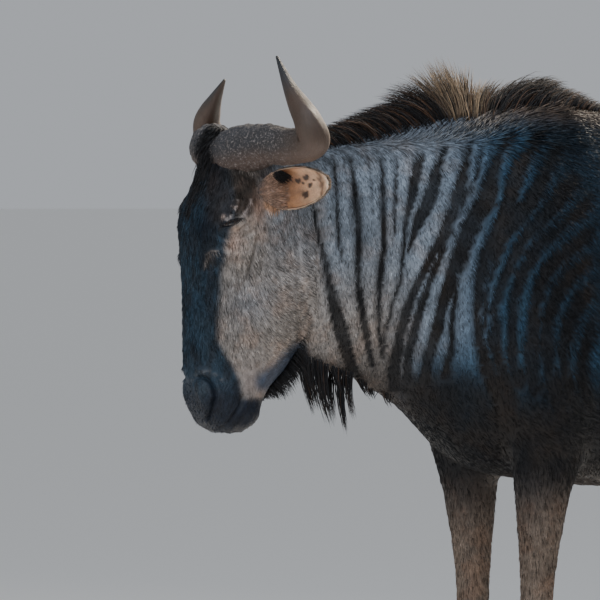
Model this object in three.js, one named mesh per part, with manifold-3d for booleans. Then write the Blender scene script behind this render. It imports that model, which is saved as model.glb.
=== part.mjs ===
// A blue wildebeest bull, life size, standing at rest with its face hanging straight down.
// Millimetres, +Z up, the head towards -X, the left side towards -Y, the hooves flat on z = 0.
import * as THREE from "three";
import { mergeVertices } from "three/addons/utils/BufferGeometryUtils.js";
import Module from "manifold-3d";

const wasm = await Module();
wasm.setup();

// The gap left between two parts that touch
const GAP = 0.35;
const SIDES = { left: -1, right: 1 };

// Trunk and neck in one, as upright sections from the poll to the buttocks.
// Each row: x, top, bottom, half width, height of the widest point, fullness above and below it
const TRUNK = [
  [-795, 1284, 990, 42, 1150, 2.0, 2.0],
  [-745, 1303, 962, 60, 1150, 2.0, 1.9],
  [-690, 1312, 942, 69, 1150, 1.9, 1.8],
  [-620, 1324, 918, 80, 1140, 1.8, 1.8],
  [-540, 1338, 878, 98, 1110, 1.75, 1.9],
  [-480, 1348, 830, 120, 1070, 1.7, 2.0],
  [-420, 1357, 782, 144, 1035, 1.65, 2.1],
  [-350, 1366, 758, 164, 1010, 1.6, 2.15],
  [-270, 1376, 747, 180, 985, 1.55, 2.2],
  [-200, 1380, 738, 192, 970, 1.55, 2.2],
  [-100, 1362, 731, 207, 950, 1.65, 2.2],
  [0, 1325, 728, 220, 945, 1.8, 2.15],
  [150, 1283, 736, 231, 950, 1.95, 2.1],
  [300, 1254, 760, 226, 970, 2.0, 2.05],
  [450, 1235, 804, 204, 1000, 2.0, 2.0],
  [580, 1215, 858, 188, 1030, 2.0, 2.0],
  [700, 1182, 905, 172, 1045, 2.0, 2.0],
  [785, 1142, 948, 146, 1045, 2.0, 2.0],
  [850, 1096, 988, 104, 1045, 2.0, 2.0],
  [884, 1058, 1022, 50, 1042, 2.0, 2.0],
];
const TRUNK_RINGS = 30;
const TRUNK_SEGMENTS = 26;

// Swellings and hollows of the trunk's sides. Each row: x, z, spread in x and in z, how far it stands out
const TRUNK_FORMS = [
  [-330, 1150, 95, 190, 24], // shoulder blade
  [-455, 985, 60, 85, 24], // point of the shoulder
  [-300, 900, 95, 95, 30], // upper arm
  [-175, 1010, 42, 160, -12], // behind the shoulder
  [-520, 1010, 70, 60, -8], // groove of the neck
  [-600, 1230, 120, 50, 7], // crest muscle
  [470, 990, 70, 90, -14], // flank
  [560, 1150, 55, 45, 12], // point of the hip
  [700, 1000, 120, 120, 22], // thigh
];

// Legs as level sections. Each row: height, centre along x, centre out from the midline,
// half length, half width
const FORE_LEG = [
  [985, -345, 112, 88, 52],
  [900, -328, 120, 96, 60],
  [840, -314, 119, 86, 57],
  [790, -315, 114, 70, 50],
  [740, -317, 108, 55, 44],
  [680, -318, 102, 44, 38],
  [620, -319, 97, 35, 33],
  [560, -320, 94, 30, 29],
  [500, -322, 92, 30, 28],
  [465, -325, 92, 35, 33],
  [430, -324, 92, 36, 35],
  [395, -320, 92, 30, 29],
  [350, -318, 92, 25, 24],
  [270, -317, 92, 23, 21],
  [190, -317, 92, 25, 23],
  [145, -319, 92, 32, 29],
  [118, -324, 92, 30, 27],
  [92, -333, 92, 30, 27],
  [62, -346, 92, 38, 33],
];
const HIND_LEG = [
  [1060, 735, 70, 70, 40],
  [1000, 728, 86, 112, 56],
  [940, 714, 104, 148, 70],
  [880, 700, 114, 160, 72],
  [820, 680, 118, 156, 64],
  [760, 684, 115, 124, 54],
  [705, 712, 110, 88, 44],
  [645, 738, 106, 58, 36],
  [592, 757, 104, 45, 31],
  [552, 769, 102, 47, 33],
  [510, 769, 101, 40, 32],
  [465, 764, 100, 32, 28],
  [410, 760, 100, 27, 24],
  [300, 754, 100, 24, 21],
  [195, 748, 100, 26, 23],
  [148, 745, 100, 33, 30],
  [118, 738, 100, 30, 27],
  [92, 729, 100, 30, 27],
  [62, 716, 100, 38, 33],
];
const LEG_RINGS = 18;
const LEG_SEGMENTS = 11;

const HOOF = { height: 62, lean: 20, halfLength: 56, halfWidth: 42, cleft: 5, segments: 18 };
const DEWCLAW = { height: 118, back: 30, out: 15, length: 26, radius: 9 };

// Head, in its own frame: depth d behind the plane of the face, y across, s down from the top of the head.
// Each row: s, front, back, half width in front, greatest half width, its depth, half width behind
const HEAD = [
  [16, 60, 130, 26, 38, 92, 20],
  [34, 44, 158, 44, 64, 98, 36],
  [62, 33, 178, 54, 77, 98, 46],
  [100, 18, 196, 60, 84, 90, 52],
  [138, 4, 204, 64, 91, 62, 52],
  [165, -1, 206, 62, 93, 56, 50],
  [200, -3, 207, 56, 82, 66, 49],
  [240, -3, 208, 50, 71, 80, 48],
  [290, -3, 207, 46, 66, 92, 46],
  [335, -3, 203, 45, 61, 92, 42],
  [370, -2, 190, 46, 57, 86, 37],
  [400, 1, 171, 48, 55, 76, 33],
  [428, 5, 145, 52, 60, 62, 33],
  [452, 10, 130, 54, 63, 56, 35],
  [474, 18, 124, 51, 60, 60, 36],
  [490, 29, 112, 41, 51, 66, 30],
  [502, 46, 93, 22, 30, 70, 18],
];
const HEAD_TOP = 1344;
const FACE_TO_PIVOT = 190; // the head turns about an upright line this far behind the face
const PIVOT_X = -740;
const HEAD_TURN = -10; // degrees, to the animal's right
const HEAD_RINGS = 28;
const HEAD_SEGMENTS = 28;

// Forms of the head's sides. Each row: s, d, spread, how far it stands out
const HEAD_FORMS = [
  [158, 34, 24, 9], // brow over the eye
  [205, 84, 22, 5], // cheekbone under the eye
  [217, 26, 15, 7], // scent gland in front of the eye
  [290, 150, 52, 7], // chewing muscle
  [330, 40, 40, -4], // hollow beside the nose bone
  [436, 46, 20, 5], // wing of the nostril
  [470, 92, 16, 4], // lower lip
];

const EYE = { d: 47, out: 75, s: 157, radius: 20, lids: 5 };
const EYE_SLIT = { length: 37, up: 6.5, down: 5, tilt: 25 };
const NOSTRIL = { d: 8, out: 45, s: 443, halfHeight: 24, halfWidth: 11, depth: 18, lean: 14, turn: 40 };
const MOUTH_DEPTH = 4.2;
// The line between the lips, from the front to the corner: d, out, s
const MOUTH_LINE = [
  [57, 0, 505],
  [56, 24, 500],
  [58, 41, 489],
  [62, 56, 473],
  [69, 63, 457],
  [78, 60, 441],
];

// Horns in the head's frame: depth, out from the midline, height above the top of the head, radius
const HORNS = {
  left: [
    [64, 14, -46, 33],
    [74, 62, -39, 39],
    [96, 120, -32, 33],
    [117, 175, -34, 29],
    [131, 220, -24, 27],
    [122, 219, 6, 23],
    [118, 191, 33, 18],
    [115, 164, 58, 12],
    [113, 111, 111, 2.5],
  ],
  right: [
    [64, 14, -46, 33],
    [74, 62, -39, 39],
    [96, 120, -32, 33],
    [117, 175, -34, 29],
    [131, 218, -25, 27],
    [124, 215, 0, 23],
    [119, 189, 22, 18],
    [116, 162, 40, 12],
    [113, 111, 74, 2.5],
  ],
};
const HORN_RINGS = 20;
const HORN_SEGMENTS = 11;

// An ear, as a leaf rolled into a cup that opens forwards and outwards
const EAR = { root: [100, 64, 109], tip: [168, 198, 90], halfWidth: 37, cup: 30, roll: 1.2, thickness: 7 };
const EAR_OPENING = new THREE.Vector3(-0.86, 0.42, -0.2);
// Along the ear: how wide and how deeply cupped it is
const EAR_SHAPE = [
  [0, 0.5, 1.0],
  [0.2, 0.74, 1.0],
  [0.45, 1.0, 0.9],
  [0.7, 0.98, 0.75],
  [0.9, 0.7, 0.5],
  [1, 0.3, 0.2],
];
const EAR_RINGS = 9;
const EAR_ACROSS = 7;

// Where the neck is parted from the trunk: the whorl of the mane, whose hair falls both ways from it
const PARTING = -404;
const LEG_CUTS = { fore: [738, 432], hind: [806, 540] };

// Hair as flat, tapered locks. Heights of the mane above the crest: x, height
const MANE_HEIGHTS = [
  [-712, 28],
  [-613, 40],
  [-550, 52],
  [-493, 60],
  [-443, 76],
  [-414, 84],
];
const WITHERS_HEIGHTS = [
  [-392, 36],
  [-333, 46],
  [-300, 46],
  [-226, 28],
  [-150, 17],
  [-100, 11],
];
const MANE = { spacing: 12.5, width: 30, thickness: 8, rows: [-15, 6, -4, 15] };
const BEARD = { from: -722, to: -560, spacing: 8.5, width: 18, thickness: 6, rows: [-15, 8, -6, 15] };
const BEARD_LENGTHS = [
  [-736, 70],
  [-700, 92],
  [-655, 84],
  [-610, 50],
  [-560, 28],
];
const CHIN = { from: 380, to: 444, count: 6, length: 34, width: 15, thickness: 5 };
const FORELOCK = { from: 26, to: 118, count: 10, length: 40, width: 22, thickness: 9 };
const TAIL = [
  [834, 0, 1076, 33],
  [872, 0, 1062, 29],
  [898, 0, 990, 22],
  [898, 0, 860, 17],
  [888, 0, 700, 13],
  [878, 0, 560, 9],
];
const TAIL_RINGS = 14;
const TAIL_SEGMENTS = 8;
const TASSEL = { from: 0.3, to: 0.97, count: 18, width: 32, thickness: 11, spread: 0.05, tips: [285, 470] };

// Number tools
const clamp = (v, low, high) => Math.min(high, Math.max(low, v));
const mix = (a, b, t) => a + (b - a) * t;
const bell = (v) => Math.exp(-v * v);
const power = (v, p) => Math.sign(v) * Math.abs(v) ** p;
const vector = (x, y, z) => new THREE.Vector3(x, y, z);
const radians = THREE.MathUtils.degToRad;

// A repeatable draw between 0 and 1
function dice(seed) {
  let state = seed;
  return () => {
    state = (state * 1664525 + 1013904223) % 4294967296;
    return state / 4294967296;
  };
}

// A smooth curve through rows of numbers: row(v) gives every column where the first one is v
function through(rows) {
  const slope = (i, c) => {
    const a = rows[Math.max(0, i - 1)];
    const b = rows[Math.min(rows.length - 1, i + 1)];
    return (b[c] - a[c]) / (b[0] - a[0]);
  };
  const rising = rows[1][0] > rows[0][0];
  return (v) => {
    let i = 0;
    while (i < rows.length - 2 && (rising ? v > rows[i + 1][0] : v < rows[i + 1][0])) {
      i += 1;
    }
    const [a, b] = [rows[i], rows[i + 1]];
    const h = b[0] - a[0];
    const t = clamp((v - a[0]) / h, 0, 1);
    return a.map((start, c) => {
      const [m0, m1] = [slope(i, c) * h, slope(i + 1, c) * h];
      return (
        (2 * t ** 3 - 3 * t ** 2 + 1) * start +
        (t ** 3 - 2 * t ** 2 + t) * m0 +
        (3 * t ** 2 - 2 * t ** 3) * b[c] +
        (t ** 3 - t ** 2) * m1
      );
    });
  };
}

const middle = (ring) =>
  ring.reduce((sum, p) => sum.add(p), new THREE.Vector3()).divideScalar(ring.length);

// A closed skin over rings of points, with a fan from a point over each end
function loft(rings, ends = [middle(rings[0]), middle(rings.at(-1))]) {
  const n = rings[0].length;
  const faces = [];
  for (let r = 0; r < rings.length - 1; r += 1) {
    for (let i = 0; i < n; i += 1) {
      const [a, b] = [r * n + i, r * n + ((i + 1) % n)];
      faces.push(a, b, b + n, a, b + n, a + n);
    }
  }
  const [count, last] = [rings.length * n, (rings.length - 1) * n];
  for (let i = 0; i < n; i += 1) {
    const j = (i + 1) % n;
    faces.push(count, j, i, count + 1, last + i, last + j);
  }
  const geometry = new THREE.BufferGeometry().setFromPoints([...rings.flat(), ...ends]);
  geometry.setIndex(faces);
  return geometry;
}

// A geometry as a solid whose faces point outwards
function solid(geometry) {
  const bare = geometry.clone();
  bare.deleteAttribute("normal");
  bare.deleteAttribute("uv");
  const merged = mergeVertices(bare, 1e-3);
  const triVerts = new Uint32Array(merged.index.array);
  const vertProperties = new Float32Array(merged.attributes.position.array);
  const make = () => new wasm.Manifold(new wasm.Mesh({ numProp: 3, vertProperties, triVerts }));
  const made = make();
  if (made.volume() >= 0) {
    return made;
  }
  for (let i = 0; i < triVerts.length; i += 3) {
    [triVerts[i + 1], triVerts[i + 2]] = [triVerts[i + 2], triVerts[i + 1]];
  }
  return make();
}

// What is left of a cut or joined piece once loose scraps and sealed hollows are dropped
const largest = (made) =>
  made.decompose().reduce((best, piece) => (piece.volume() > best.volume() ? piece : best));

const joined = (pieces) => pieces.reduce((whole, piece) => whole.add(piece));

// A block from one corner to the opposite one
function block(low, high) {
  const size = vector(...high).sub(vector(...low));
  const centre = vector(...low).addScaledVector(size, 0.5);
  return solid(new THREE.BoxGeometry(size.x, size.y, size.z).translate(centre.x, centre.y, centre.z));
}

// A tube along a curve. rows: x, y, z and a radius
function tube(rows, ringCount, segments, grow = 0) {
  const curve = new THREE.CatmullRomCurve3(rows.map(([x, y, z]) => vector(x, y, z)));
  const radius = through(rows.map((row, i) => [i / (rows.length - 1), row[3]]));
  const frames = curve.computeFrenetFrames(ringCount, false);
  const rings = Array.from({ length: ringCount + 1 }, (_, r) => {
    const at = curve.getUtoTmapping(r / ringCount);
    const size = radius(at)[1] + grow;
    return Array.from({ length: segments }, (_, i) => {
      const a = (i / segments) * 2 * Math.PI;
      return curve
        .getPoint(at)
        .addScaledVector(frames.normals[r], size * Math.cos(a))
        .addScaledVector(frames.binormals[r], size * Math.sin(a));
    });
  });
  const reach = (end, sign) =>
    curve.getPoint(end).addScaledVector(curve.getTangent(end), sign * (0.35 * radius(end)[1] + grow));
  return loft(rings, [reach(0, -1), reach(1, 1)]);
}

// A flat, tapered lock that leaves its root along one way and bends over to another
function lock({ root, rise, lie, length, width, thickness, normal, sunk = 14, steps = 4 }) {
  const bend = new THREE.QuadraticBezierCurve3(
    root.clone().addScaledVector(rise, -sunk),
    root.clone().addScaledVector(rise, length * 0.55),
    root.clone().addScaledVector(rise, length * 0.62).addScaledVector(lie, length * 0.62),
  );
  const rings = Array.from({ length: steps }, (_, r) => {
    const t = (r / steps) ** 0.9;
    const along = bend.getTangent(t);
    const across = new THREE.Vector3().crossVectors(along, normal).normalize();
    const flat = new THREE.Vector3().crossVectors(across, along).normalize();
    const half = (width / 2) * mix(1, 0.42, t ** 2.4);
    const thin = (thickness / 2) * mix(1, 0.45, t);
    const centre = bend.getPoint(t);
    return [
      centre.clone().addScaledVector(across, half),
      centre.clone().addScaledVector(flat, thin),
      centre.clone().addScaledVector(across, -half),
      centre.clone().addScaledVector(flat, -thin),
    ];
  });
  return solid(loft(rings, [middle(rings[0]), bend.getPoint(1)]));
}

// Trunk
const trunkAt = through(TRUNK);

function trunkPoint(x, angle, grow) {
  const [, top, bottom, half, widest, above, below] = trunkAt(x);
  const [c, s] = [Math.cos(angle), Math.sin(angle)];
  const fullness = 2 / (s >= 0 ? above : below);
  const height = (s >= 0 ? top - widest : widest - bottom) + grow;
  const z = widest + height * power(s, fullness);
  const forms = TRUNK_FORMS.reduce(
    (sum, [fx, fz, sx, sz, out]) => sum + out * bell((x - fx) / sx) * bell((z - fz) / sz),
    0,
  );
  return vector(x, (half + grow) * power(c, fullness) + power(c, 0.5) * forms, z);
}

function trunkGeometry(grow = 0) {
  const [from, to] = [TRUNK[0][0], TRUNK.at(-1)[0]];
  const rings = Array.from({ length: TRUNK_RINGS + 1 }, (_, r) => {
    const x = mix(from, to, r / TRUNK_RINGS);
    return Array.from({ length: TRUNK_SEGMENTS }, (_, i) =>
      trunkPoint(x, (i / TRUNK_SEGMENTS) * 2 * Math.PI, grow),
    );
  });
  const reach = (ring, sign) => middle(ring).add(vector(sign * (12 + grow), 0, 0));
  return loft(rings, [reach(rings[0], -1), reach(rings.at(-1), 1)]);
}

// Legs and hooves
function legGeometry(stations, side) {
  const at = through(stations);
  const [from, to] = [stations[0][0], stations.at(-1)[0]];
  const rings = Array.from({ length: LEG_RINGS + 1 }, (_, r) => {
    const [z, x, out, length, width] = at(mix(from, to, r / LEG_RINGS));
    return Array.from({ length: LEG_SEGMENTS }, (_, i) => {
      const a = (i / LEG_SEGMENTS) * 2 * Math.PI;
      return vector(x + length * Math.cos(a), side * out + width * Math.sin(a), z);
    });
  });
  return loft(rings);
}

function dewclaws(stations, side) {
  const [, x, out] = through(stations)(DEWCLAW.height);
  return [-1, 1].map((half) => {
    const cone = new THREE.ConeGeometry(DEWCLAW.radius, DEWCLAW.length, 8);
    cone.rotateX(Math.PI / 2).rotateX(Math.PI).rotateY(radians(-20));
    cone.translate(x + DEWCLAW.back, side * out + half * DEWCLAW.out, DEWCLAW.height);
    return solid(cone);
  });
}

function hoof(stations, side) {
  const [, x, out, topLength, topWidth] = stations.at(-1);
  const levels = [
    [HOOF.height - GAP, 0, topLength + 1, topWidth + 1],
    [HOOF.height * 0.8, HOOF.lean * 0.18, topLength + 5, topWidth + 4],
    [HOOF.height * 0.3, HOOF.lean * 0.7, HOOF.halfLength * 0.93, HOOF.halfWidth * 0.98],
    [0, HOOF.lean, HOOF.halfLength, HOOF.halfWidth],
  ];
  const rings = levels.map(([z, forward, length, width]) =>
    Array.from({ length: HOOF.segments }, (_, i) => {
      const a = (i / HOOF.segments) * 2 * Math.PI;
      const toe = 1 - 0.22 * clamp(-Math.cos(a), 0, 1);
      const ahead = length * power(Math.cos(a), 0.85);
      return vector(x - forward + ahead, side * out + width * toe * power(Math.sin(a), 0.85), z);
    }),
  );
  const cleft = new THREE.BoxGeometry(HOOF.halfLength * 1.5, HOOF.cleft, HOOF.height * 1.6);
  cleft.rotateY(radians(18));
  cleft.translate(x - HOOF.lean - HOOF.halfLength * 0.62, side * out, HOOF.height * 0.25);
  return solid(loft(rings)).subtract(solid(cleft));
}

// Head, in its own frame: the turning axis at the origin, level with the top of the head
const headAt = through(HEAD);
const inHead = (d, y, s) => vector(d - FACE_TO_PIVOT, y, -s);

// A section of the head as a closed curve, from the middle of the face round to the middle of the throat
function headSection(s, grow) {
  const [, front, back, wFront, wMost, dMost, wBack] = headAt(s);
  const side = [
    [front + 0.1 * (dMost - front), wFront * 0.72],
    [front + 0.42 * (dMost - front), mix(wFront, wMost, 0.55)],
    [dMost, wMost],
    [mix(dMost, back, 0.55), mix(wMost, wBack, 0.5) + 4],
    [mix(dMost, back, 0.88), wBack * 0.84],
  ];
  const points = [
    [front, 0],
    ...side,
    [back, 0],
    ...side.map(([d, w]) => [d, -w]).reverse(),
  ].map(([d, w]) => {
    const away = new THREE.Vector2(d - (front + back) / 2, w).normalize().multiplyScalar(grow);
    return vector(d + away.x, w + away.y, s);
  });
  return new THREE.CatmullRomCurve3(points, true, "centripetal");
}

function headPoint(section, t) {
  const p = section.getPoint(t);
  const forms = HEAD_FORMS.reduce(
    (sum, [s, d, spread, out]) => sum + out * bell(Math.hypot(p.z - s, p.x - d) / spread),
    0,
  );
  return inHead(p.x, p.y + Math.sign(p.y) * forms * clamp(Math.abs(p.y) / 30, 0, 1), p.z);
}

function headGeometry(grow = 0) {
  const rings = Array.from({ length: HEAD_RINGS + 1 }, (_, r) => {
    const section = headSection(mix(HEAD[0][0], HEAD.at(-1)[0], r / HEAD_RINGS), grow);
    return Array.from({ length: HEAD_SEGMENTS }, (_, i) => headPoint(section, i / HEAD_SEGMENTS));
  });
  const reach = (ring, sign) => middle(ring).add(vector(0, 0, sign * (5 + grow)));
  return loft(rings, [reach(rings[0], 1), reach(rings.at(-1), -1)]);
}

const hornGeometry = (name, grow = 0) =>
  tube(
    HORNS[name].map(([d, out, up, radius]) => [d - FACE_TO_PIVOT, SIDES[name] * out, up, radius]),
    HORN_RINGS,
    HORN_SEGMENTS,
    grow,
  );

// The left ear, with grow added to its thickness all round
function earGeometry(grow = 0) {
  const root = inHead(...EAR.root);
  const along = inHead(...EAR.tip).sub(root);
  const length = along.length();
  along.normalize();
  const opening = EAR_OPENING.clone();
  opening.addScaledVector(along, -opening.dot(along)).normalize();
  const across = new THREE.Vector3().crossVectors(along, opening);
  const shape = through(EAR_SHAPE);
  const place = (t, w, lift) => {
    const [, width, cup] = shape(t);
    const roll = w * EAR.roll;
    const wide = (EAR.halfWidth * width + grow) * (Math.sin(roll) / Math.sin(EAR.roll));
    return root
      .clone()
      .addScaledVector(along, t * length)
      .addScaledVector(across, wide)
      .addScaledVector(opening, EAR.cup * cup * (1 - Math.cos(roll)) * 1.3 + lift);
  };
  const rings = Array.from({ length: EAR_RINGS + 1 }, (_, r) => {
    const t = r / EAR_RINGS;
    const thick = (EAR.thickness / 2) * mix(1, 0.45, t) + grow;
    const inner = Array.from({ length: EAR_ACROSS + 1 }, (_, i) =>
      place(t, mix(-1, 1, i / EAR_ACROSS), thick),
    );
    const outer = Array.from({ length: EAR_ACROSS + 1 }, (_, i) =>
      place(t, mix(1, -1, i / EAR_ACROSS), -thick),
    );
    return [...inner, ...outer];
  });
  return mirrored(loft(rings));
}

// The left eye: the ball, and the slit between the lids
const eyeCentre = inHead(EYE.d, -EYE.out, EYE.s);
const eyeball = (radius) =>
  new THREE.SphereGeometry(radius, 16, 10).rotateX(Math.PI / 2).translate(...eyeCentre.toArray());

function eyeSlit() {
  const half = EYE_SLIT.length / 2;
  const almond = new THREE.Shape();
  almond.moveTo(-half, 0);
  almond.quadraticCurveTo(0, EYE_SLIT.up * 2, half, 0);
  almond.quadraticCurveTo(0, -EYE_SLIT.down * 2, -half, 0);
  const slit = new THREE.ExtrudeGeometry(almond, { depth: 60, bevelEnabled: false, curveSegments: 6 });
  return slit.rotateZ(radians(EYE_SLIT.tilt)).rotateX(Math.PI / 2).translate(...eyeCentre.toArray());
}

function nostril() {
  const hole = new THREE.SphereGeometry(1, 12, 8);
  hole.scale(NOSTRIL.halfWidth, NOSTRIL.depth, NOSTRIL.halfHeight);
  hole.rotateY(radians(NOSTRIL.lean)).rotateZ(radians(-NOSTRIL.turn));
  return hole.translate(...inHead(NOSTRIL.d, -NOSTRIL.out, NOSTRIL.s).toArray());
}

function mouth() {
  const right = MOUTH_LINE.slice(1);
  const left = right.map(([d, out, s]) => [d, -out, s]).reverse();
  const line = [...left, MOUTH_LINE[0], ...right].map((point) => inHead(...point).toArray());
  return tube(line.map((point) => [...point, MOUTH_DEPTH]), 26, 6);
}

const mirrored = (geometry) => geometry.clone().scale(1, -1, 1);
const bothSides = (geometry) => [solid(geometry), solid(mirrored(geometry))];

// Short hair hanging between the horns and under the chin
function forelock() {
  const draw = dice(11);
  return Array.from({ length: FORELOCK.count }, (_, i) => {
    const s = mix(FORELOCK.from, FORELOCK.to, i / (FORELOCK.count - 1));
    const [, front] = headAt(s);
    const y = ((i % 3) - 1) * 15 + mix(-3, 3, draw());
    return lock({
      root: inHead(front + Math.abs(y) * 0.25, y, s),
      rise: vector(-0.62, 0.01 * y, -0.5).normalize(),
      lie: vector(0.12, 0.012 * y, -1).normalize(),
      length: FORELOCK.length * mix(0.85, 1.15, draw()),
      width: FORELOCK.width,
      thickness: FORELOCK.thickness,
      normal: vector(-1, 0, 0.2).normalize(),
      sunk: 9,
      steps: 3,
    });
  });
}

function chinTuft() {
  const draw = dice(12);
  return Array.from({ length: CHIN.count }, (_, i) => {
    const s = mix(CHIN.from, CHIN.to, i / (CHIN.count - 1));
    const [, , back] = headAt(s);
    const y = (i % 2 ? 1 : -1) * mix(9, 16, draw());
    return lock({
      root: inHead(back - 3, y, s),
      rise: vector(0.8, 0.01 * y, -0.6).normalize(),
      lie: vector(mix(0.2, 0.5, draw()), 0, -1).normalize(),
      length: CHIN.length * mix(0.8, 1.2, draw()),
      width: CHIN.width,
      thickness: CHIN.thickness,
      normal: vector(0.3, 1, 0).normalize(),
      sunk: 9,
      steps: 3,
    });
  });
}

// The mane, in two parts that fall away from the whorl between them
function mane(heights, seed) {
  const draw = dice(seed);
  const height = through(heights);
  const [from, to] = [heights[0][0], heights.at(-1)[0]];
  const ahead = from < PARTING && to < PARTING ? -1 : 1;
  const count = Math.round(Math.abs(to - from) / MANE.spacing);
  return Array.from({ length: count + 1 }, (_, i) => {
    const x = mix(from, to, i / count);
    const [, top] = trunkAt(x);
    const y = MANE.rows[i % MANE.rows.length] * clamp(height(x)[1] / 50, 0.5, 1);
    const far = 0.16 + y * 0.008;
    return lock({
      root: vector(x, y, top - Math.abs(y) * 0.22 - 2),
      rise: vector(ahead * 0.3, far, 1).normalize(),
      lie: vector(ahead * 0.92, far + 0.1, mix(0.35, 0.6, draw())).normalize(),
      length: height(x)[1] * mix(1.15, 1.4, draw()),
      width: MANE.width * mix(0.9, 1.15, draw()),
      thickness: MANE.thickness,
      normal: vector(0, 1, -0.2 * Math.sign(y)).normalize(),
    });
  });
}

// The beard, hanging in bunches under the throat
function beard() {
  const draw = dice(31);
  const length = through(BEARD_LENGTHS);
  const count = Math.round((BEARD.to - BEARD.from) / BEARD.spacing);
  return Array.from({ length: count + 1 }, (_, i) => {
    const x = mix(BEARD.from, BEARD.to, i / count);
    const [, , bottom] = trunkAt(x);
    const y = BEARD.rows[i % BEARD.rows.length];
    return lock({
      root: vector(x, y, bottom + 4 + Math.abs(y) * 0.15),
      rise: vector(-0.25, 0.012 * y, -1).normalize(),
      lie: vector(mix(0.1, 0.55, draw()), 0.01 * y, -1).normalize(),
      length: length(x)[1] * mix(0.75, 1.15, draw()),
      width: BEARD.width,
      thickness: BEARD.thickness,
      normal: vector(mix(-0.3, 0.3, draw()), 1, 0).normalize(),
      steps: 3,
    });
  });
}

// The long hair of the tail
function tassel() {
  const draw = dice(41);
  const curve = new THREE.CatmullRomCurve3(TAIL.map(([x, y, z]) => vector(x, y, z)));
  const radius = through(TAIL.map((row, i) => [i / (TAIL.length - 1), row[3]]));
  return Array.from({ length: TASSEL.count }, (_, i) => {
    const t = mix(TASSEL.from, TASSEL.to, i / (TASSEL.count - 1));
    const a = i * 2.39996;
    const out = vector(Math.cos(a), Math.sin(a), 0);
    const root = curve.getPoint(t).addScaledVector(out, radius(t)[1] * 0.7);
    return lock({
      root,
      rise: vector(0, 0, -1).addScaledVector(out, 0.13).normalize(),
      lie: vector(-0.02, 0, -1).addScaledVector(out, TASSEL.spread * mix(-0.4, 1, draw())).normalize(),
      length: (root.z - mix(...TASSEL.tips, draw() ** 1.5)) * 0.8,
      width: TASSEL.width,
      thickness: TASSEL.thickness,
      normal: out,
      sunk: 12,
    });
  });
}

// Head, horns, ears and eyes, in the head's frame
const hornRoom = Object.keys(SIDES).map((name) => solid(hornGeometry(name, GAP)));
const headRoom = solid(headGeometry(GAP));
const holes = [eyeSlit(), eyeball(EYE.radius + GAP), nostril()].flatMap(bothSides);
const head = largest(
  joined([solid(headGeometry()), ...bothSides(eyeball(EYE.radius + EYE.lids)), ...forelock(), ...chinTuft()])
    .subtract(joined([...holes, ...hornRoom, solid(mouth())])),
);
const ears = bothSides(earGeometry()).map((ear) => largest(ear.subtract(joined([headRoom, ...hornRoom]))));
const horns = Object.keys(SIDES).map((name) => solid(hornGeometry(name)));
const eyes = bothSides(eyeball(EYE.radius));

// Trunk and neck, in the animal's frame, cut clear of the head
const headFrame = new THREE.Group();
headFrame.position.set(PIVOT_X, 0, HEAD_TOP);
headFrame.rotation.z = radians(HEAD_TURN);
headFrame.updateMatrix();
const roomOfHead = [
  headGeometry(GAP),
  earGeometry(GAP),
  mirrored(earGeometry(GAP)),
  hornGeometry("left", GAP),
  hornGeometry("right", GAP),
];
const clearOfHead = joined(
  roomOfHead.map((geometry) => solid(geometry.clone().applyMatrix4(headFrame.matrix))),
);
const trunk = solid(trunkGeometry());
const ahead = block([-1500, -800, -100], [PARTING - GAP / 2, 800, 2000]);
const behind = block([PARTING + GAP / 2, -800, -100], [1500, 800, 2000]);
const neck = largest(
  joined([trunk.intersect(ahead), ...mane(MANE_HEIGHTS, 21), ...beard()])
    .intersect(ahead)
    .subtract(clearOfHead),
);

// Legs, each cut level into what belongs to the body, an upper length and a lower length
function limb(stations, side, [top, joint]) {
  const leg = joined([solid(legGeometry(stations, side)), ...dewclaws(stations, side)]);
  const level = (low, high) => block([-1500, -800, low], [1500, 800, high]);
  return {
    body: leg.intersect(level(top + GAP, 2000)),
    upper: leg.intersect(level(joint + GAP, top)),
    lower: leg.intersect(level(-100, joint)),
  };
}

const limbs = {};
for (const [side, sign] of Object.entries(SIDES)) {
  limbs[`front_${side}`] = { ...limb(FORE_LEG, sign, LEG_CUTS.fore), hoof: hoof(FORE_LEG, sign) };
  limbs[`hind_${side}`] = { ...limb(HIND_LEG, sign, LEG_CUTS.hind), hoof: hoof(HIND_LEG, sign) };
}

const tailRoom = solid(tube(TAIL.map(([x, y, z, r]) => [x, y, z, r + GAP]), TAIL_RINGS, TAIL_SEGMENTS));
const torso = largest(
  joined([
    trunk.intersect(behind),
    ...Object.values(limbs).map((leg) => leg.body),
    ...mane(WITHERS_HEIGHTS, 22),
  ]).intersect(behind).subtract(tailRoom),
);
const tail = joined([solid(tube(TAIL, TAIL_RINGS, TAIL_SEGMENTS)), ...tassel()]);

// Finishes: colour, roughness
const FINISHES = {
  coat: [0x6d6760, 0.9],
  face: [0x1d1c20, 0.85],
  hair: [0x1a1614, 0.8],
  legs: [0x7a6a58, 0.9],
  horn: [0x5a5148, 0.5],
  ear: [0xa07c5a, 0.9],
  eye: [0x17100c, 0.08],
  hoof: [0x2a2521, 0.45],
};

// A sub-part as a named mesh
function part(name, made, finish) {
  const { vertProperties, numProp, triVerts } = made.getMesh();
  const positions = Array.from({ length: vertProperties.length / numProp }, (_, i) =>
    vector(...vertProperties.slice(i * numProp, i * numProp + 3)),
  );
  const geometry = new THREE.BufferGeometry().setFromPoints(positions);
  geometry.setIndex(Array.from(triVerts));
  geometry.computeVertexNormals();
  const [color, roughness] = FINISHES[finish];
  const mesh = new THREE.Mesh(geometry, new THREE.MeshStandardMaterial({ color, roughness }));
  mesh.name = name;
  return mesh;
}

headFrame.add(part("head", head, "face"));
Object.keys(SIDES).forEach((side, i) => {
  headFrame.add(part(`horn_${side}`, horns[i], "horn"));
  headFrame.add(part(`ear_${side}`, ears[i], "ear"));
  headFrame.add(part(`eye_${side}`, eyes[i], "eye"));
});

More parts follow.
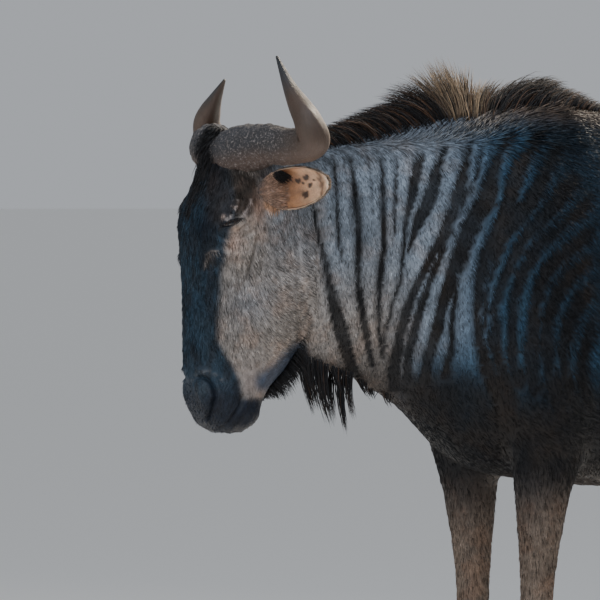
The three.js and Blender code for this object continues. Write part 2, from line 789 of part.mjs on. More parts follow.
const wildebeest = new THREE.Group();
wildebeest.add(headFrame);
wildebeest.add(part("neck", neck, "coat"), part("torso", torso, "coat"), part("tail", tail, "hair"));
for (const [name, leg] of Object.entries(limbs)) {
  wildebeest.add(part(`leg_${name}_upper`, leg.upper, "legs"));
  wildebeest.add(part(`leg_${name}_lower`, leg.lower, "legs"));
  wildebeest.add(part(`hoof_${name}`, leg.hoof, "hoof"));
}

export default wildebeest;
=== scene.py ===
import math

import bpy
import numpy as np
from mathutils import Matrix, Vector
from mathutils.bvhtree import BVHTree


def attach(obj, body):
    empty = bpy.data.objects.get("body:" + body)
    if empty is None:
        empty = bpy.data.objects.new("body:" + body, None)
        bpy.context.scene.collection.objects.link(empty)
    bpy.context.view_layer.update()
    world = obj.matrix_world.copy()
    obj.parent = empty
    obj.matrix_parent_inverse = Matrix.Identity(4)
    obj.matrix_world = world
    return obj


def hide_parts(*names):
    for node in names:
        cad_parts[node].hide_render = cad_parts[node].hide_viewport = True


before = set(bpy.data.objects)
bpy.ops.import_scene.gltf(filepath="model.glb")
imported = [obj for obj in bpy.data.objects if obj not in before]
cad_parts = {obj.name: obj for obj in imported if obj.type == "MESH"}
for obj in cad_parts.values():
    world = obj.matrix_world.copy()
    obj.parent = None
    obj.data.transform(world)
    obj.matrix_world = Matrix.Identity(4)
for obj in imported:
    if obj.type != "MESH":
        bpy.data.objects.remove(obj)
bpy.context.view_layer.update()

# Hide: one unbroken skin over the trunk, neck, head, legs and root of the tail. The bull stands
# with its face hanging straight down, so the neck runs level from the withers to the poll. The
# skin is loose in folds over the neck, and fine wrinkles lie round the eyes and over the muzzle.

# Upright sections of trunk and neck: x, top, bottom, half width, height of the widest point,
# fullness above and below it
TRUNK = np.array([
    (-0.795, 1.284, 0.990, 0.042, 1.150, 2.0, 2.0),
    (-0.745, 1.303, 0.962, 0.060, 1.150, 2.0, 1.9),
    (-0.690, 1.312, 0.942, 0.069, 1.150, 1.9, 1.8),
    (-0.620, 1.324, 0.918, 0.080, 1.140, 1.8, 1.8),
    (-0.540, 1.338, 0.878, 0.098, 1.110, 1.75, 1.9),
    (-0.480, 1.348, 0.830, 0.120, 1.070, 1.7, 2.0),
    (-0.420, 1.357, 0.782, 0.144, 1.035, 1.65, 2.1),
    (-0.350, 1.366, 0.758, 0.164, 1.010, 1.6, 2.15),
    (-0.270, 1.376, 0.747, 0.180, 0.985, 1.55, 2.2),
    (-0.200, 1.380, 0.738, 0.192, 0.970, 1.55, 2.2),
    (-0.100, 1.362, 0.731, 0.207, 0.950, 1.65, 2.2),
    (0.000, 1.325, 0.728, 0.220, 0.945, 1.8, 2.15),
    (0.150, 1.283, 0.736, 0.231, 0.950, 1.95, 2.1),
    (0.300, 1.254, 0.760, 0.226, 0.970, 2.0, 2.05),
    (0.450, 1.235, 0.804, 0.204, 1.000, 2.0, 2.0),
    (0.580, 1.215, 0.858, 0.188, 1.030, 2.0, 2.0),
    (0.700, 1.182, 0.905, 0.172, 1.045, 2.0, 2.0),
    (0.785, 1.142, 0.948, 0.146, 1.045, 2.0, 2.0),
    (0.850, 1.096, 0.988, 0.104, 1.045, 2.0, 2.0),
    (0.884, 1.058, 1.022, 0.050, 1.042, 2.0, 2.0),
])
# Swellings and hollows of the trunk's sides: x, z, spread in x and in z, how far it stands out
TRUNK_FORMS = [
    (-0.330, 1.150, 0.095, 0.190, 0.024),
    (-0.455, 0.985, 0.060, 0.085, 0.024),
    (-0.300, 0.900, 0.095, 0.095, 0.030),
    (-0.175, 1.010, 0.042, 0.160, -0.012),
    (-0.520, 1.010, 0.070, 0.060, -0.008),
    (-0.600, 1.230, 0.120, 0.050, 0.007),
    (0.470, 0.990, 0.070, 0.090, -0.014),
    (0.560, 1.150, 0.055, 0.045, 0.012),
    (0.700, 1.000, 0.120, 0.120, 0.022),
]
# Level sections of a leg: height, centre along x, centre out from the midline, half length, half width
FORE_LEG = np.array([
    (0.985, -0.345, 0.112, 0.088, 0.052),
    (0.900, -0.328, 0.120, 0.096, 0.060),
    (0.840, -0.314, 0.119, 0.086, 0.057),
    (0.790, -0.315, 0.114, 0.070, 0.050),
    (0.740, -0.317, 0.108, 0.055, 0.044),
    (0.680, -0.318, 0.102, 0.044, 0.038),
    (0.620, -0.319, 0.097, 0.035, 0.033),
    (0.560, -0.320, 0.094, 0.030, 0.029),
    (0.500, -0.322, 0.092, 0.030, 0.028),
    (0.465, -0.325, 0.092, 0.035, 0.033),
    (0.430, -0.324, 0.092, 0.036, 0.035),
    (0.395, -0.320, 0.092, 0.030, 0.029),
    (0.350, -0.318, 0.092, 0.025, 0.024),
    (0.270, -0.317, 0.092, 0.023, 0.021),
    (0.190, -0.317, 0.092, 0.025, 0.023),
    (0.145, -0.319, 0.092, 0.032, 0.029),
    (0.118, -0.324, 0.092, 0.030, 0.027),
    (0.092, -0.333, 0.092, 0.030, 0.027),
    (0.062, -0.346, 0.092, 0.038, 0.033),
])
HIND_LEG = np.array([
    (1.060, 0.735, 0.070, 0.070, 0.040),
    (1.000, 0.728, 0.086, 0.112, 0.056),
    (0.940, 0.714, 0.104, 0.148, 0.070),
    (0.880, 0.700, 0.114, 0.160, 0.072),
    (0.820, 0.680, 0.118, 0.156, 0.064),
    (0.760, 0.684, 0.115, 0.124, 0.054),
    (0.705, 0.712, 0.110, 0.088, 0.044),
    (0.645, 0.738, 0.106, 0.058, 0.036),
    (0.592, 0.757, 0.104, 0.045, 0.031),
    (0.552, 0.769, 0.102, 0.047, 0.033),
    (0.510, 0.769, 0.101, 0.040, 0.032),
    (0.465, 0.764, 0.100, 0.032, 0.028),
    (0.410, 0.760, 0.100, 0.027, 0.024),
    (0.300, 0.754, 0.100, 0.024, 0.021),
    (0.195, 0.748, 0.100, 0.026, 0.023),
    (0.148, 0.745, 0.100, 0.033, 0.030),
    (0.118, 0.738, 0.100, 0.030, 0.027),
    (0.092, 0.729, 0.100, 0.030, 0.027),
    (0.062, 0.716, 0.100, 0.038, 0.033),
])
# Sections of the head across its length: s down from the top, front and back depth behind the face,
# half width in front, greatest half width and its depth, half width behind
HEAD = np.array([
    (0.016, 0.060, 0.130, 0.026, 0.038, 0.092, 0.020),
    (0.034, 0.044, 0.158, 0.044, 0.064, 0.098, 0.036),
    (0.062, 0.033, 0.178, 0.054, 0.077, 0.098, 0.046),
    (0.100, 0.018, 0.196, 0.060, 0.084, 0.090, 0.052),
    (0.138, 0.004, 0.204, 0.064, 0.091, 0.062, 0.052),
    (0.165, -0.001, 0.206, 0.062, 0.093, 0.056, 0.050),
    (0.200, -0.003, 0.207, 0.056, 0.082, 0.066, 0.049),
    (0.240, -0.003, 0.208, 0.050, 0.071, 0.080, 0.048),
    (0.290, -0.003, 0.207, 0.046, 0.066, 0.092, 0.046),
    (0.335, -0.003, 0.203, 0.045, 0.061, 0.092, 0.042),
    (0.370, -0.002, 0.190, 0.046, 0.057, 0.086, 0.037),
    (0.400, 0.001, 0.171, 0.048, 0.055, 0.076, 0.033),
    (0.428, 0.005, 0.145, 0.052, 0.060, 0.062, 0.033),
    (0.452, 0.010, 0.130, 0.054, 0.063, 0.056, 0.035),
    (0.474, 0.018, 0.124, 0.051, 0.060, 0.060, 0.036),
    (0.490, 0.029, 0.112, 0.041, 0.051, 0.066, 0.030),
    (0.502, 0.046, 0.093, 0.022, 0.030, 0.070, 0.018),
])
# Forms of the head's sides: s, depth, spread, how far it stands out
HEAD_FORMS = [
    (0.158, 0.034, 0.024, 0.009),
    (0.205, 0.084, 0.022, 0.005),
    (0.217, 0.026, 0.015, 0.007),
    (0.290, 0.150, 0.052, 0.007),
    (0.330, 0.040, 0.040, -0.004),
    (0.436, 0.046, 0.020, 0.005),
    (0.470, 0.092, 0.016, 0.004),
]
HEAD_TOP = 1.344
PIVOT_X = -0.740
FACE_TO_PIVOT = 0.190
HEAD_TURN = math.radians(-10)
VOXEL = 0.0112


def bell(value):
    return np.exp(-value * value)


def power(value, exponent):
    return np.sign(value) * np.abs(value) ** exponent


def step(value, low, high):
    """0 below low and 1 above high, with a soft turn between them; low may be the larger one."""
    t = np.clip((value - low) / (high - low), 0, 1)
    return t * t * (3 - 2 * t)


def smooth_way(t, start, leave, end, arrive):
    """The smooth way from start to end at t from 0 to 1, with its speeds at both ends."""
    return (
        (2 * t**3 - 3 * t**2 + 1) * start
        + (t**3 - 2 * t**2 + t) * leave
        + (3 * t**2 - 2 * t**3) * end
        + (t**3 - t**2) * arrive
    )


def through(rows, at):
    """Every column of the rows, smoothly, where the first column is at."""
    rows = rows if rows[1, 0] > rows[0, 0] else rows[::-1]
    place = rows[:, 0]
    slopes = np.empty_like(rows)
    slopes[1:-1] = (rows[2:] - rows[:-2]) / (place[2:] - place[:-2])[:, None]
    slopes[0] = (rows[1] - rows[0]) / (place[1] - place[0])
    slopes[-1] = (rows[-1] - rows[-2]) / (place[-1] - place[-2])
    at = np.asarray(at, float)
    i = np.clip(np.searchsorted(place, at) - 1, 0, len(place) - 2)
    gap = (place[i + 1] - place[i])[:, None]
    t = np.clip((at[:, None] - place[i][:, None]) / gap, 0, 1)
    return (
        (2 * t**3 - 3 * t**2 + 1) * rows[i]
        + (t**3 - 2 * t**2 + t) * gap * slopes[i]
        + (3 * t**2 - 2 * t**3) * rows[i + 1]
        + (t**3 - t**2) * gap * slopes[i + 1]
    )


def lofted(name, rings):
    """A closed mesh over rings of points, with a fan over each end."""
    count, around = rings.shape[:2]
    ends = [rings[0].mean(0), rings[-1].mean(0)]
    points = np.concatenate([rings.reshape(-1, 3), ends])
    index = np.arange(count * around).reshape(count, around)
    turned = np.roll(index, -1, 1)
    quads = np.stack([index[:-1], turned[:-1], turned[1:], index[1:]], -1).reshape(-1, 4)
    first = [(count * around, b, a) for a, b in zip(index[0], turned[0])]
    last = [(count * around + 1, a, b) for a, b in zip(index[-1], turned[-1])]
    mesh = bpy.data.meshes.new(name)
    mesh.from_pydata(points.tolist(), [], quads.tolist() + first + last)
    made = bpy.data.objects.new(name, mesh)
    bpy.context.collection.objects.link(made)
    return made


def alone(piece):
    bpy.ops.object.select_all(action="DESELECT")
    piece.select_set(True)
    bpy.context.view_layer.objects.active = piece
    return piece


def face_outwards(piece):
    alone(piece)
    bpy.ops.object.mode_set(mode="EDIT")
    bpy.ops.mesh.select_all(action="SELECT")
    bpy.ops.mesh.normals_make_consistent(inside=False)
    bpy.ops.object.mode_set(mode="OBJECT")
    return piece


def trunk_rings(count=190, around=150):
    x, top, bottom, half, widest, above, below = through(
        TRUNK, np.linspace(TRUNK[0, 0], TRUNK[-1, 0], count)
    ).T[:, :, None]
    angle = np.linspace(0, 2 * math.pi, around, endpoint=False)[None, :]
    c, s = np.cos(angle), np.sin(angle)
    fullness = 2 / np.where(s >= 0, above, below)
    z = widest + np.where(s >= 0, top - widest, widest - bottom) * power(s, fullness)
    forms = sum(
        out * bell((x - fx) / sx) * bell((z - fz) / sz) for fx, fz, sx, sz, out in TRUNK_FORMS
    )
    y = half * power(c, fullness) + power(c, 0.5) * forms
    return np.stack([np.broadcast_to(x, z.shape), y, z], -1)


def leg_rings(sections, side, count=110, around=48):
    z, x, out, length, width = through(
        sections, np.linspace(sections[0, 0], sections[-1, 0], count)
    ).T[:, :, None]
    angle = np.linspace(0, 2 * math.pi, around, endpoint=False)[None, :]
    wide = side * out + width * np.sin(angle)
    return np.stack([x + length * np.cos(angle), wide, np.broadcast_to(z, wide.shape)], -1)


def in_head(d, y, s):
    """A point of the head: d behind the face, y to the animal's right, s down from the top."""
    d, y, s = np.broadcast_arrays(d, y, s)
    back = d - FACE_TO_PIVOT
    c, t = math.cos(HEAD_TURN), math.sin(HEAD_TURN)
    return np.stack([PIVOT_X + c * back - t * y, t * back + c * y, HEAD_TOP - s], -1)


def to_head(points):
    """Depth behind the face, distance to the right and distance down of points of the head."""
    c, t = math.cos(HEAD_TURN), math.sin(HEAD_TURN)
    x = points[:, 0] - PIVOT_X
    return c * x + t * points[:, 1] + FACE_TO_PIVOT, c * points[:, 1] - t * x, HEAD_TOP - points[:, 2]


def head_rings(count=170, steps=12):
    rows = through(HEAD, np.linspace(HEAD[0, 0], HEAD[-1, 0], count))
    s, front, back, w_front, w_most, d_most, w_back = rows.T
    side = [
        (front + 0.1 * (d_most - front), w_front * 0.72),
        (front + 0.42 * (d_most - front), w_front * 0.45 + w_most * 0.55),
        (d_most, w_most),
        (d_most * 0.45 + back * 0.55, (w_most + w_back) / 2 + 0.004),
        (d_most * 0.12 + back * 0.88, w_back * 0.84),
    ]
    outline = [(front, 0 * front), *side, (back, 0 * back), *[(d, -w) for d, w in side[::-1]]]
    p = np.array([np.stack(pair, -1) for pair in outline])
    before, after, beyond = np.roll(p, 1, 0), np.roll(p, -1, 0), np.roll(p, -2, 0)

    def spacing(a, b):
        return np.linalg.norm(b - a, axis=-1, keepdims=True) ** 0.5

    d0, d1, d2 = spacing(before, p), spacing(p, after), spacing(after, beyond)
    leave = ((p - before) / d0 - (after - before) / (d0 + d1) + (after - p) / d1) * d1
    arrive = ((after - p) / d1 - (beyond - p) / (d1 + d2) + (beyond - after) / d2) * d1
    rings = [smooth_way(t, p, leave, after, arrive) for t in np.arange(steps) / steps]
    ring = np.stack(rings, 1).reshape(len(outline) * steps, count, 2).transpose(1, 0, 2)
    d, y, down = ring[..., 0], ring[..., 1], np.broadcast_to(s[:, None], ring.shape[:2])
    forms = sum(out * bell(np.hypot(down - fs, d - fd) / r) for fs, fd, r, out in HEAD_FORMS)
    return in_head(d, y + np.sign(y) * forms * np.clip(np.abs(y) / 0.03, 0, 1), down)


def tail_rings(count=60, around=24):
    t = np.linspace(0, 1, count)
    places = np.array([
        (0.0, 0.834, 1.076, 0.033),
        (0.2, 0.872, 1.062, 0.029),
        (0.4, 0.898, 0.990, 0.022),
        (0.6, 0.898, 0.860, 0.017),
        (0.8, 0.888, 0.700, 0.013),
        (1.0, 0.878, 0.560, 0.009),
    ])
    _, x, z, radius = through(places, t).T
    dx, dz = np.gradient(x), np.gradient(z)
    length = np.hypot(dx, dz)
    angle = np.linspace(0, 2 * math.pi, around, endpoint=False)[None, :]
    c, s = radius[:, None] * np.cos(angle), radius[:, None] * np.sin(angle)
    return np.stack(
        [x[:, None] - (dz / length)[:, None] * c, s, z[:, None] + (dx / length)[:, None] * c], -1
    )


def joined(name, pieces):
    """Several pieces made one."""
    bpy.ops.object.select_all(action="DESELECT")
    for piece in pieces:
        piece.select_set(True)
    bpy.context.view_layer.objects.active = pieces[0]
    bpy.ops.object.join()
    whole = bpy.context.view_layer.objects.active
    whole.name = name
    return whole


def fused(name, pieces, voxel):
    """Closed pieces that cross, as one surface of even small faces."""
    whole = joined(name, pieces)
    remesh = whole.modifiers.new("even", "REMESH")
    remesh.mode = "VOXEL"
    remesh.voxel_size = voxel
    bpy.ops.object.modifier_apply(modifier=remesh.name)
    return whole


def points_of(piece):
    flat = np.empty(len(piece.data.vertices) * 3)
    piece.data.vertices.foreach_get("co", flat)
    return flat.reshape(-1, 3)


def normals_of(piece):
    flat = np.empty(len(piece.data.vertices) * 3)
    piece.data.vertex_normals.foreach_get("vector", flat)
    return flat.reshape(-1, 3)


def set_points(piece, points):
    piece.data.vertices.foreach_set("co", points.ravel())
    piece.data.update()


def keep_on(piece, name, kind, values):
    """Write values on the points of a piece, for its material to read."""
    field = {"FLOAT_COLOR": "color", "FLOAT_VECTOR": "vector", "FLOAT": "value"}[kind]
    layer = piece.data.attributes.new(name, kind, "POINT")
    layer.data.foreach_set(field, values.ravel())


def shade_smooth(piece):
    piece.data.polygons.foreach_set("use_smooth", np.ones(len(piece.data.polygons), bool))


def smoothed(piece, points, rounds, amount=1.0):
    """Points evened out along the edges of the piece without shrinking it."""
    edges = np.empty(len(piece.data.edges) * 2, int)
    piece.data.edges.foreach_get("vertices", edges)
    a, b = edges.reshape(-1, 2).T
    near = np.bincount(np.r_[a, b], minlength=len(points))[:, None]
    for turn in range(rounds * 2):
        total = np.zeros_like(points)
        for axis in range(3):
            total[:, axis] = np.bincount(a, points[b, axis], len(points))
            total[:, axis] += np.bincount(b, points[a, axis], len(points))
        points = points + amount * (0.5 if turn % 2 == 0 else -0.52) * (total / near - points)
    return points


flesh = [face_outwards(lofted("trunk", trunk_rings())), face_outwards(lofted("tail", tail_rings()))]
for side in (-1, 1):
    flesh += [face_outwards(lofted("leg", leg_rings(rows, side))) for rows in (FORE_LEG, HIND_LEG)]
head_form = face_outwards(lofted("head_form", head_rings()))
head_copy = head_form.copy()
head_copy.data = head_form.data.copy()
bpy.context.collection.objects.link(head_copy)
hide = fused("hide", [*flesh, head_copy], VOXEL)


def head_share(points):
    """1 on the head, turning softly to 0 on the neck."""
    d, _, s = to_head(points)
    return step(d, 0.215, 0.170) * step(s, -0.01, 0.03)


points = points_of(hide)
on_head = head_share(points)
soft = smoothed(hide, points, 14)
points = points + (soft - points) * (1 - 0.85 * on_head[:, None])
set_points(hide, points)


def refine(piece, wanted):
    """Every face whose centre is wanted, cut in four."""
    centres = np.empty(len(piece.data.polygons) * 3)
    piece.data.polygons.foreach_get("center", centres)
    alone(piece)
    bpy.ops.object.mode_set(mode="EDIT")
    bpy.ops.mesh.select_mode(type="FACE")
    bpy.ops.mesh.select_all(action="DESELECT")
    bpy.ops.object.mode_set(mode="OBJECT")
    piece.data.polygons.foreach_set("select", wanted(centres.reshape(-1, 3)))
    bpy.ops.object.mode_set(mode="EDIT")
    bpy.ops.mesh.subdivide(number_cuts=1, smoothness=0, quadcorner="INNERVERT")
    bpy.ops.object.mode_set(mode="OBJECT")


# The photograph's scale in millimetres and in metres a pixel, and where it shows the highest point
# of the back, with the millimetres across for each metre along x and out to the side
PIXEL_MM = 1.64
PIXEL_M = 0.00164
BACK_ACROSS = 565
BACK_DOWN = 103
BACK_X = -0.210
BACK_HEIGHT = 1.380
BODY_AHEAD = 839
BODY_ASIDE = 545
BACK_ROUNDING = 0.012
# Where it shows the pivot of the head, with the pixels across for each metre in the turned head
HEAD_ACROSS = 293.9
HEAD_AHEAD = 561.7
HEAD_ASIDE = 238.4
HEAD_BELOW_BACK = 0.036


def seen(points, whole=False):
    """Where points lie in the picture, across and down, with both sides folded on the near one."""
    if whole:
        x, y, z = points.T
        ahead = BODY_AHEAD * (x - BACK_X) + BODY_ASIDE * np.hypot(y, BACK_ROUNDING)
        return BACK_ACROSS + ahead / PIXEL_MM, BACK_DOWN + (BACK_HEIGHT - z) / PIXEL_M
    d, y, s = to_head(points)
    across = HEAD_ACROSS + HEAD_AHEAD * (d - FACE_TO_PIVOT) + HEAD_ASIDE * np.abs(y)
    return across, BACK_DOWN + (s + HEAD_BELOW_BACK) / PIXEL_M


def off_stretch(across, down, start, end):
    """How far places in the picture lie along a straight stretch, from 0 to 1, and how far off it."""
    run, drop = end[0] - start[0], end[1] - start[1]
    share = ((across - start[0]) * run + (down - start[1]) * drop) / (run**2 + drop**2)
    share = np.clip(share, 0, 1)
    return share, np.hypot(across - start[0] - share * run, down - start[1] - share * drop)


def off_line(across, down, line):
    """How far places in the picture are from a line of points on it, in millimetres."""
    nearest = np.full(len(across), 1e9)
    for start, end in zip(line, line[1:]):
        nearest = np.minimum(nearest, off_stretch(across, down, start, end)[1])
    return nearest * PIXEL_MM


def spot(across, down, middle, wide, high):
    """1 at a middle in the picture, fading out over a half width and half height in pixels."""
    return bell(np.hypot((across - middle[0]) / wide, (down - middle[1]) / high))


# Dark lines of the brindling, as (across, down, width) in the picture, from the jaw back
BRINDLE_AND_SHADE_LINES = [
    # the first line, behind the jaw, widens low down into painted shade between the cheek and the neck
    [(313, 206, 2.5), (317, 230, 4.0), (324, 256, 5.0), (330, 284, 8.0), (337, 311, 13.0),
     (342, 330, 15.0), (348, 356, 13.0), (356, 378, 8.0)],
    [(334, 156, 2.5), (337, 182, 3.4), (339, 210, 3.4), (339, 238, 3.2), (342, 262, 1.6)],
    [(351, 160, 3.0), (355, 193, 5.0), (359, 219, 6.5), (359, 247, 6.0), (358, 266, 5.0),
     (362, 302, 7.0), (366, 330, 7.0), (374, 366, 5.0)],
    [(368, 158, 1.6), (372, 184, 1.6), (372, 214, 1.0)],
    [(382, 162, 4.0), (384, 193, 6.0), (383, 219, 6.5), (384, 247, 6.0), (382, 275, 6.0),
     (379, 302, 4.6), (380, 330, 4.0), (384, 358, 4.0)],
    [(398, 160, 2.0), (397, 190, 3.6), (395, 220, 3.0), (394, 246, 1.4)],
    [(421, 158, 9.0), (417, 173, 11.0), (412, 201, 8.0), (407, 227, 4.4), (405, 249, 3.6),
     (402, 275, 3.0), (395, 299, 3.0), (388, 327, 3.4), (385, 352, 3.4)],
    [(446, 150, 7.0), (438, 173, 13.0), (430, 201, 15.0), (421, 220, 11.0), (414, 238, 6.0),
     (408, 254, 2.0)],
    [(471, 148, 5.0), (467, 169, 9.0), (460, 201, 17.0), (451, 220, 13.0), (443, 238, 12.0),
     (433, 253, 9.0), (425, 271, 8.0), (416, 290, 9.0), (408, 312, 10.0), (399, 349, 11.0),
     (394, 372, 12.0), (396, 388, 12.0)],
    [(483, 150, 2.5), (478, 175, 3.0), (472, 195, 2.0)],
    [(445, 247, 5.0), (436, 267, 7.0), (425, 299, 8.0), (417, 330, 9.0), (409, 358, 9.0),
     (406, 392, 10.0)],
    [(508, 140, 6.0), (495, 169, 12.0), (486, 201, 18.0), (470, 230, 19.0), (462, 253, 19.0),
     (455, 275, 17.0), (446, 299, 12.0), (438, 330, 10.0), (430, 358, 10.0), (426, 388, 12.0)],
    [(458, 290, 4.0), (454, 312, 5.0), (452, 340, 6.0), (447, 378, 9.0)],
    [(535, 138, 8.0), (517, 178, 12.0), (509, 208, 16.0), (498, 234, 18.0), (486, 260, 14.0),
     (480, 284, 10.0), (477, 312, 8.0), (481, 346, 9.0), (489, 373, 13.0), (500, 398, 16.0),
     (508, 424, 16.0)],
    [(556, 150, 9.0), (540, 190, 12.0), (522, 218, 9.0), (508, 240, 6.0), (494, 268, 4.0),
     (487, 296, 3.6), (486, 326, 4.0), (494, 356, 5.0)],
    [(574, 182, 12.0), (550, 212, 12.0), (532, 231, 10.0), (515, 256, 9.0), (502, 284, 8.0),
     (494, 312, 8.0), (496, 345, 9.0), (503, 373, 9.0), (512, 400, 9.0)],
    [(600, 196, 10.0), (566, 224, 8.0), (541, 244, 9.0), (523, 275, 9.0), (514, 302, 8.0),
     (512, 330, 8.0), (514, 358, 9.0), (521, 384, 9.0)],
    [(604, 226, 9.0), (569, 250, 10.0), (549, 268, 10.0), (539, 290, 9.0), (533, 321, 9.0),
     (532, 352, 9.0), (537, 388, 10.0)],
    [(606, 254, 9.0), (576, 271, 10.0), (558, 293, 10.0), (549, 321, 9.0), (547, 349, 9.0),
     (552, 380, 9.0), (562, 415, 9.0)],
    [(608, 280, 9.0), (584, 298, 10.0), (570, 324, 10.0), (564, 350, 9.0), (568, 385, 9.0),
     (578, 418, 9.0)],
    [(610, 306, 9.0), (592, 328, 10.0), (584, 355, 9.0), (586, 388, 9.0), (594, 420, 9.0)],
]


def wavy(points, fine, seed):
    """A smooth, random-looking number from -1 to 1 at points, with waves of about fine metres."""
    ways = np.random.default_rng(seed)
    total = np.zeros(len(points))
    for _ in range(7):
        way = ways.normal(0, 1, 3)
        wave = 2 * math.pi / fine * ways.uniform(0.6, 1.5)
        total += np.sin(points @ (way / np.linalg.norm(way)) * wave + ways.uniform(0, 6.28))
    return np.tanh(total / 2.4)


def off_head(points):
    """1 on the trunk and neck, turning softly to 0 on the head and on the legs."""
    d, _, s = to_head(points)
    return np.maximum(step(d, 0.170, 0.200), step(s, 0.02, -0.01)) * step(points[:, 2], 0.70, 0.80)


def brindle_and_fold_shade(points):
    """How dark the brindling and the painted shade on the sides of the neck's folds make the coat, from 0 to
    1.
    """
    across, down = seen(points, whole=True)
    across = across + 1.2 * wavy(points, 0.09, 3) + 0.5 * wavy(points, 0.03, 4)
    x, y, z = points.T
    darkness = np.zeros(len(points))
    near = (x < -0.10) & (z > 0.68)
    u, v = across[near], down[near]
    found = np.zeros(len(u))
    for line in BRINDLE_AND_SHADE_LINES:
        for start, end in zip(line, line[1:]):
            t, off = off_stretch(u, v, start, end)
            half = 0.5 * (start[2] + (end[2] - start[2]) * t) * (1 + 0.50 * step(u, 486, 520))
            found = np.maximum(found, step(off, half + 1.9, half - 0.9) * np.clip(half / 1.2, 0, 1))
            # painted shade on the sides of the neck's folds, fading out from each dark line
            fold_painted_shade = 0.42 * step(off, half + 6.5, half - 0.5) * np.clip(half / 2.0, 0, 1)
            found = np.maximum(found, fold_painted_shade)
    darkness[near] = found * (0.95 + 0.05 * wavy(points[near], 0.14, 20))
    # behind the shoulder, where the photograph ends, the lines go on, fainter and broken
    lean = across + 0.30 * (down - 300) - 0.0016 * (down - 330) ** 2 + 5.0 * wavy(points, 0.30, 5)
    further = step(np.cos(2 * math.pi * lean / 19.0), -0.25, 0.55) * step(wavy(points, 0.16, 6), -0.7, 0.1)
    further = further * step(across, 592, 612) * step(x, 0.50, 0.05)
    darkness = np.maximum(darkness * step(across, 606, 590), further)
    below_crest = step(np.interp(x, TRUNK[:, 0], TRUNK[:, 1]) - z, 0.006, 0.036)
    return darkness * off_head(points) * below_crest * (0.96 + 0.04 * wavy(points, 0.05, 8))


# Creases (deeper) and ridges (minus) of the head: points in the picture, half width and depth in mm
CREASES = [
    ([(217, 428), (226, 423), (234, 414), (240, 404), (243, 394)], 2.8, 5.0),
    ([(229, 430), (238, 419), (246, 404), (249, 396)], 5.0, -2.0),
    (
        [(196, 376), (203, 374.5), (209, 378), (214, 385), (215.5, 394), (212, 403), (209, 414), (204, 421)],
        3.4, 9.0,
    ),
    ([(195, 379), (192.5, 390), (195, 402)], 2.8, 3.5),
    ([(199, 367), (209, 370), (218, 379), (221, 392), (217, 405)], 5.0, -3.0),
    ([(225, 220), (230, 211), (234, 200)], 3.0, -2.2),
    ([(243, 216), (248, 208), (252, 199)], 3.0, -2.0),
    ([(237, 213), (241, 206), (243, 198)], 2.6, 2.0),
    ([(221, 224), (230, 229), (241, 228), (250, 221)], 2.4, 2.2),
    ([(214, 231), (226, 238), (241, 237), (253, 229)], 2.6, 1.5),
    ([(212, 207), (220, 197), (236, 191)], 7.0, -3.0),
    ([(257, 238), (254, 254), (249, 269)], 3.6, 3.2),
    ([(262, 226), (262, 246), (257, 268)], 5.0, -1.5),
    ([(259, 182), (262, 194), (266, 208)], 4.0, 3.5),
    ([(236, 266), (232, 292), (236, 330), (246, 362)], 9.0, -2.0),
    ([(205, 263), (207, 254), (213, 249), (220, 249)], 2.6, -2.6),
    ([(203, 268), (212, 268), (220, 262)], 3.0, 2.0),
    ([(308, 300), (313, 326), (309, 345), (298, 364)], 5.0, 3.0),
    ([(317, 212), (320, 240), (325, 268), (333, 292), (337, 318)], 5.0, 4.5),
]
MOUTH_LINE = CREASES[0][0]
NOSTRIL_LINE = CREASES[2][0]
# Swellings and hollows of the face: middle in the picture, half width, half height, mm it stands out.
# They are the pad inside the nostril, the disc of the gland, the temple and the hair before the ear.
FACE_FORMS = [
    ((203, 391), 6.5, 12, 3.5),
    ((212.5, 258), 6, 6, 2.4),
    ((247, 190), 8, 9, -3.0),
    ((271, 197), 10, 11, 12.0),
]
# Middle of the eye in the picture, and its place in the head: behind the face, to the side and down
EYE_SEEN = (234, 217)
EYE_PLACE = (0.047, 0.075, 0.157)
EYE_RADIUS = 0.0200
LID_RADIUS = 0.0222
GAZE = np.array((-0.30, 0.95, 0.06)) / np.linalg.norm((-0.30, 0.95, 0.06))
SLIT_HALF = 0.0190
SLIT_UP = 0.0042
SLIT_DOWN = 0.0034
SLIT_TILT = math.radians(20)
EYE_ALONG = np.array((math.cos(SLIT_TILT), 0.30, -math.sin(SLIT_TILT)))
EYE_ALONG -= GAZE * EYE_ALONG.dot(GAZE)
EYE_ALONG /= np.linalg.norm(EYE_ALONG)
EYE_UP = np.cross(EYE_ALONG, GAZE)
EYE_UP *= -np.sign(EYE_UP[2])


def eye_places(points):
    """Along, up and out from the middle of the nearer eye, as for the animal's right one."""
    d, y, s = to_head(points)
    away = np.stack([d, np.abs(y), s], -1) - EYE_PLACE
    return away @ EYE_ALONG, away @ EYE_UP, away @ GAZE, away


def from_eye(along, up, out, side):
    """The point at a place given along, up and out from the middle of an eye."""
    place = np.array(EYE_PLACE) + along[..., None] * EYE_ALONG
    place = place + up[..., None] * EYE_UP + out[..., None] * GAZE
    return in_head(place[..., 0], side * place[..., 1], place[..., 2])


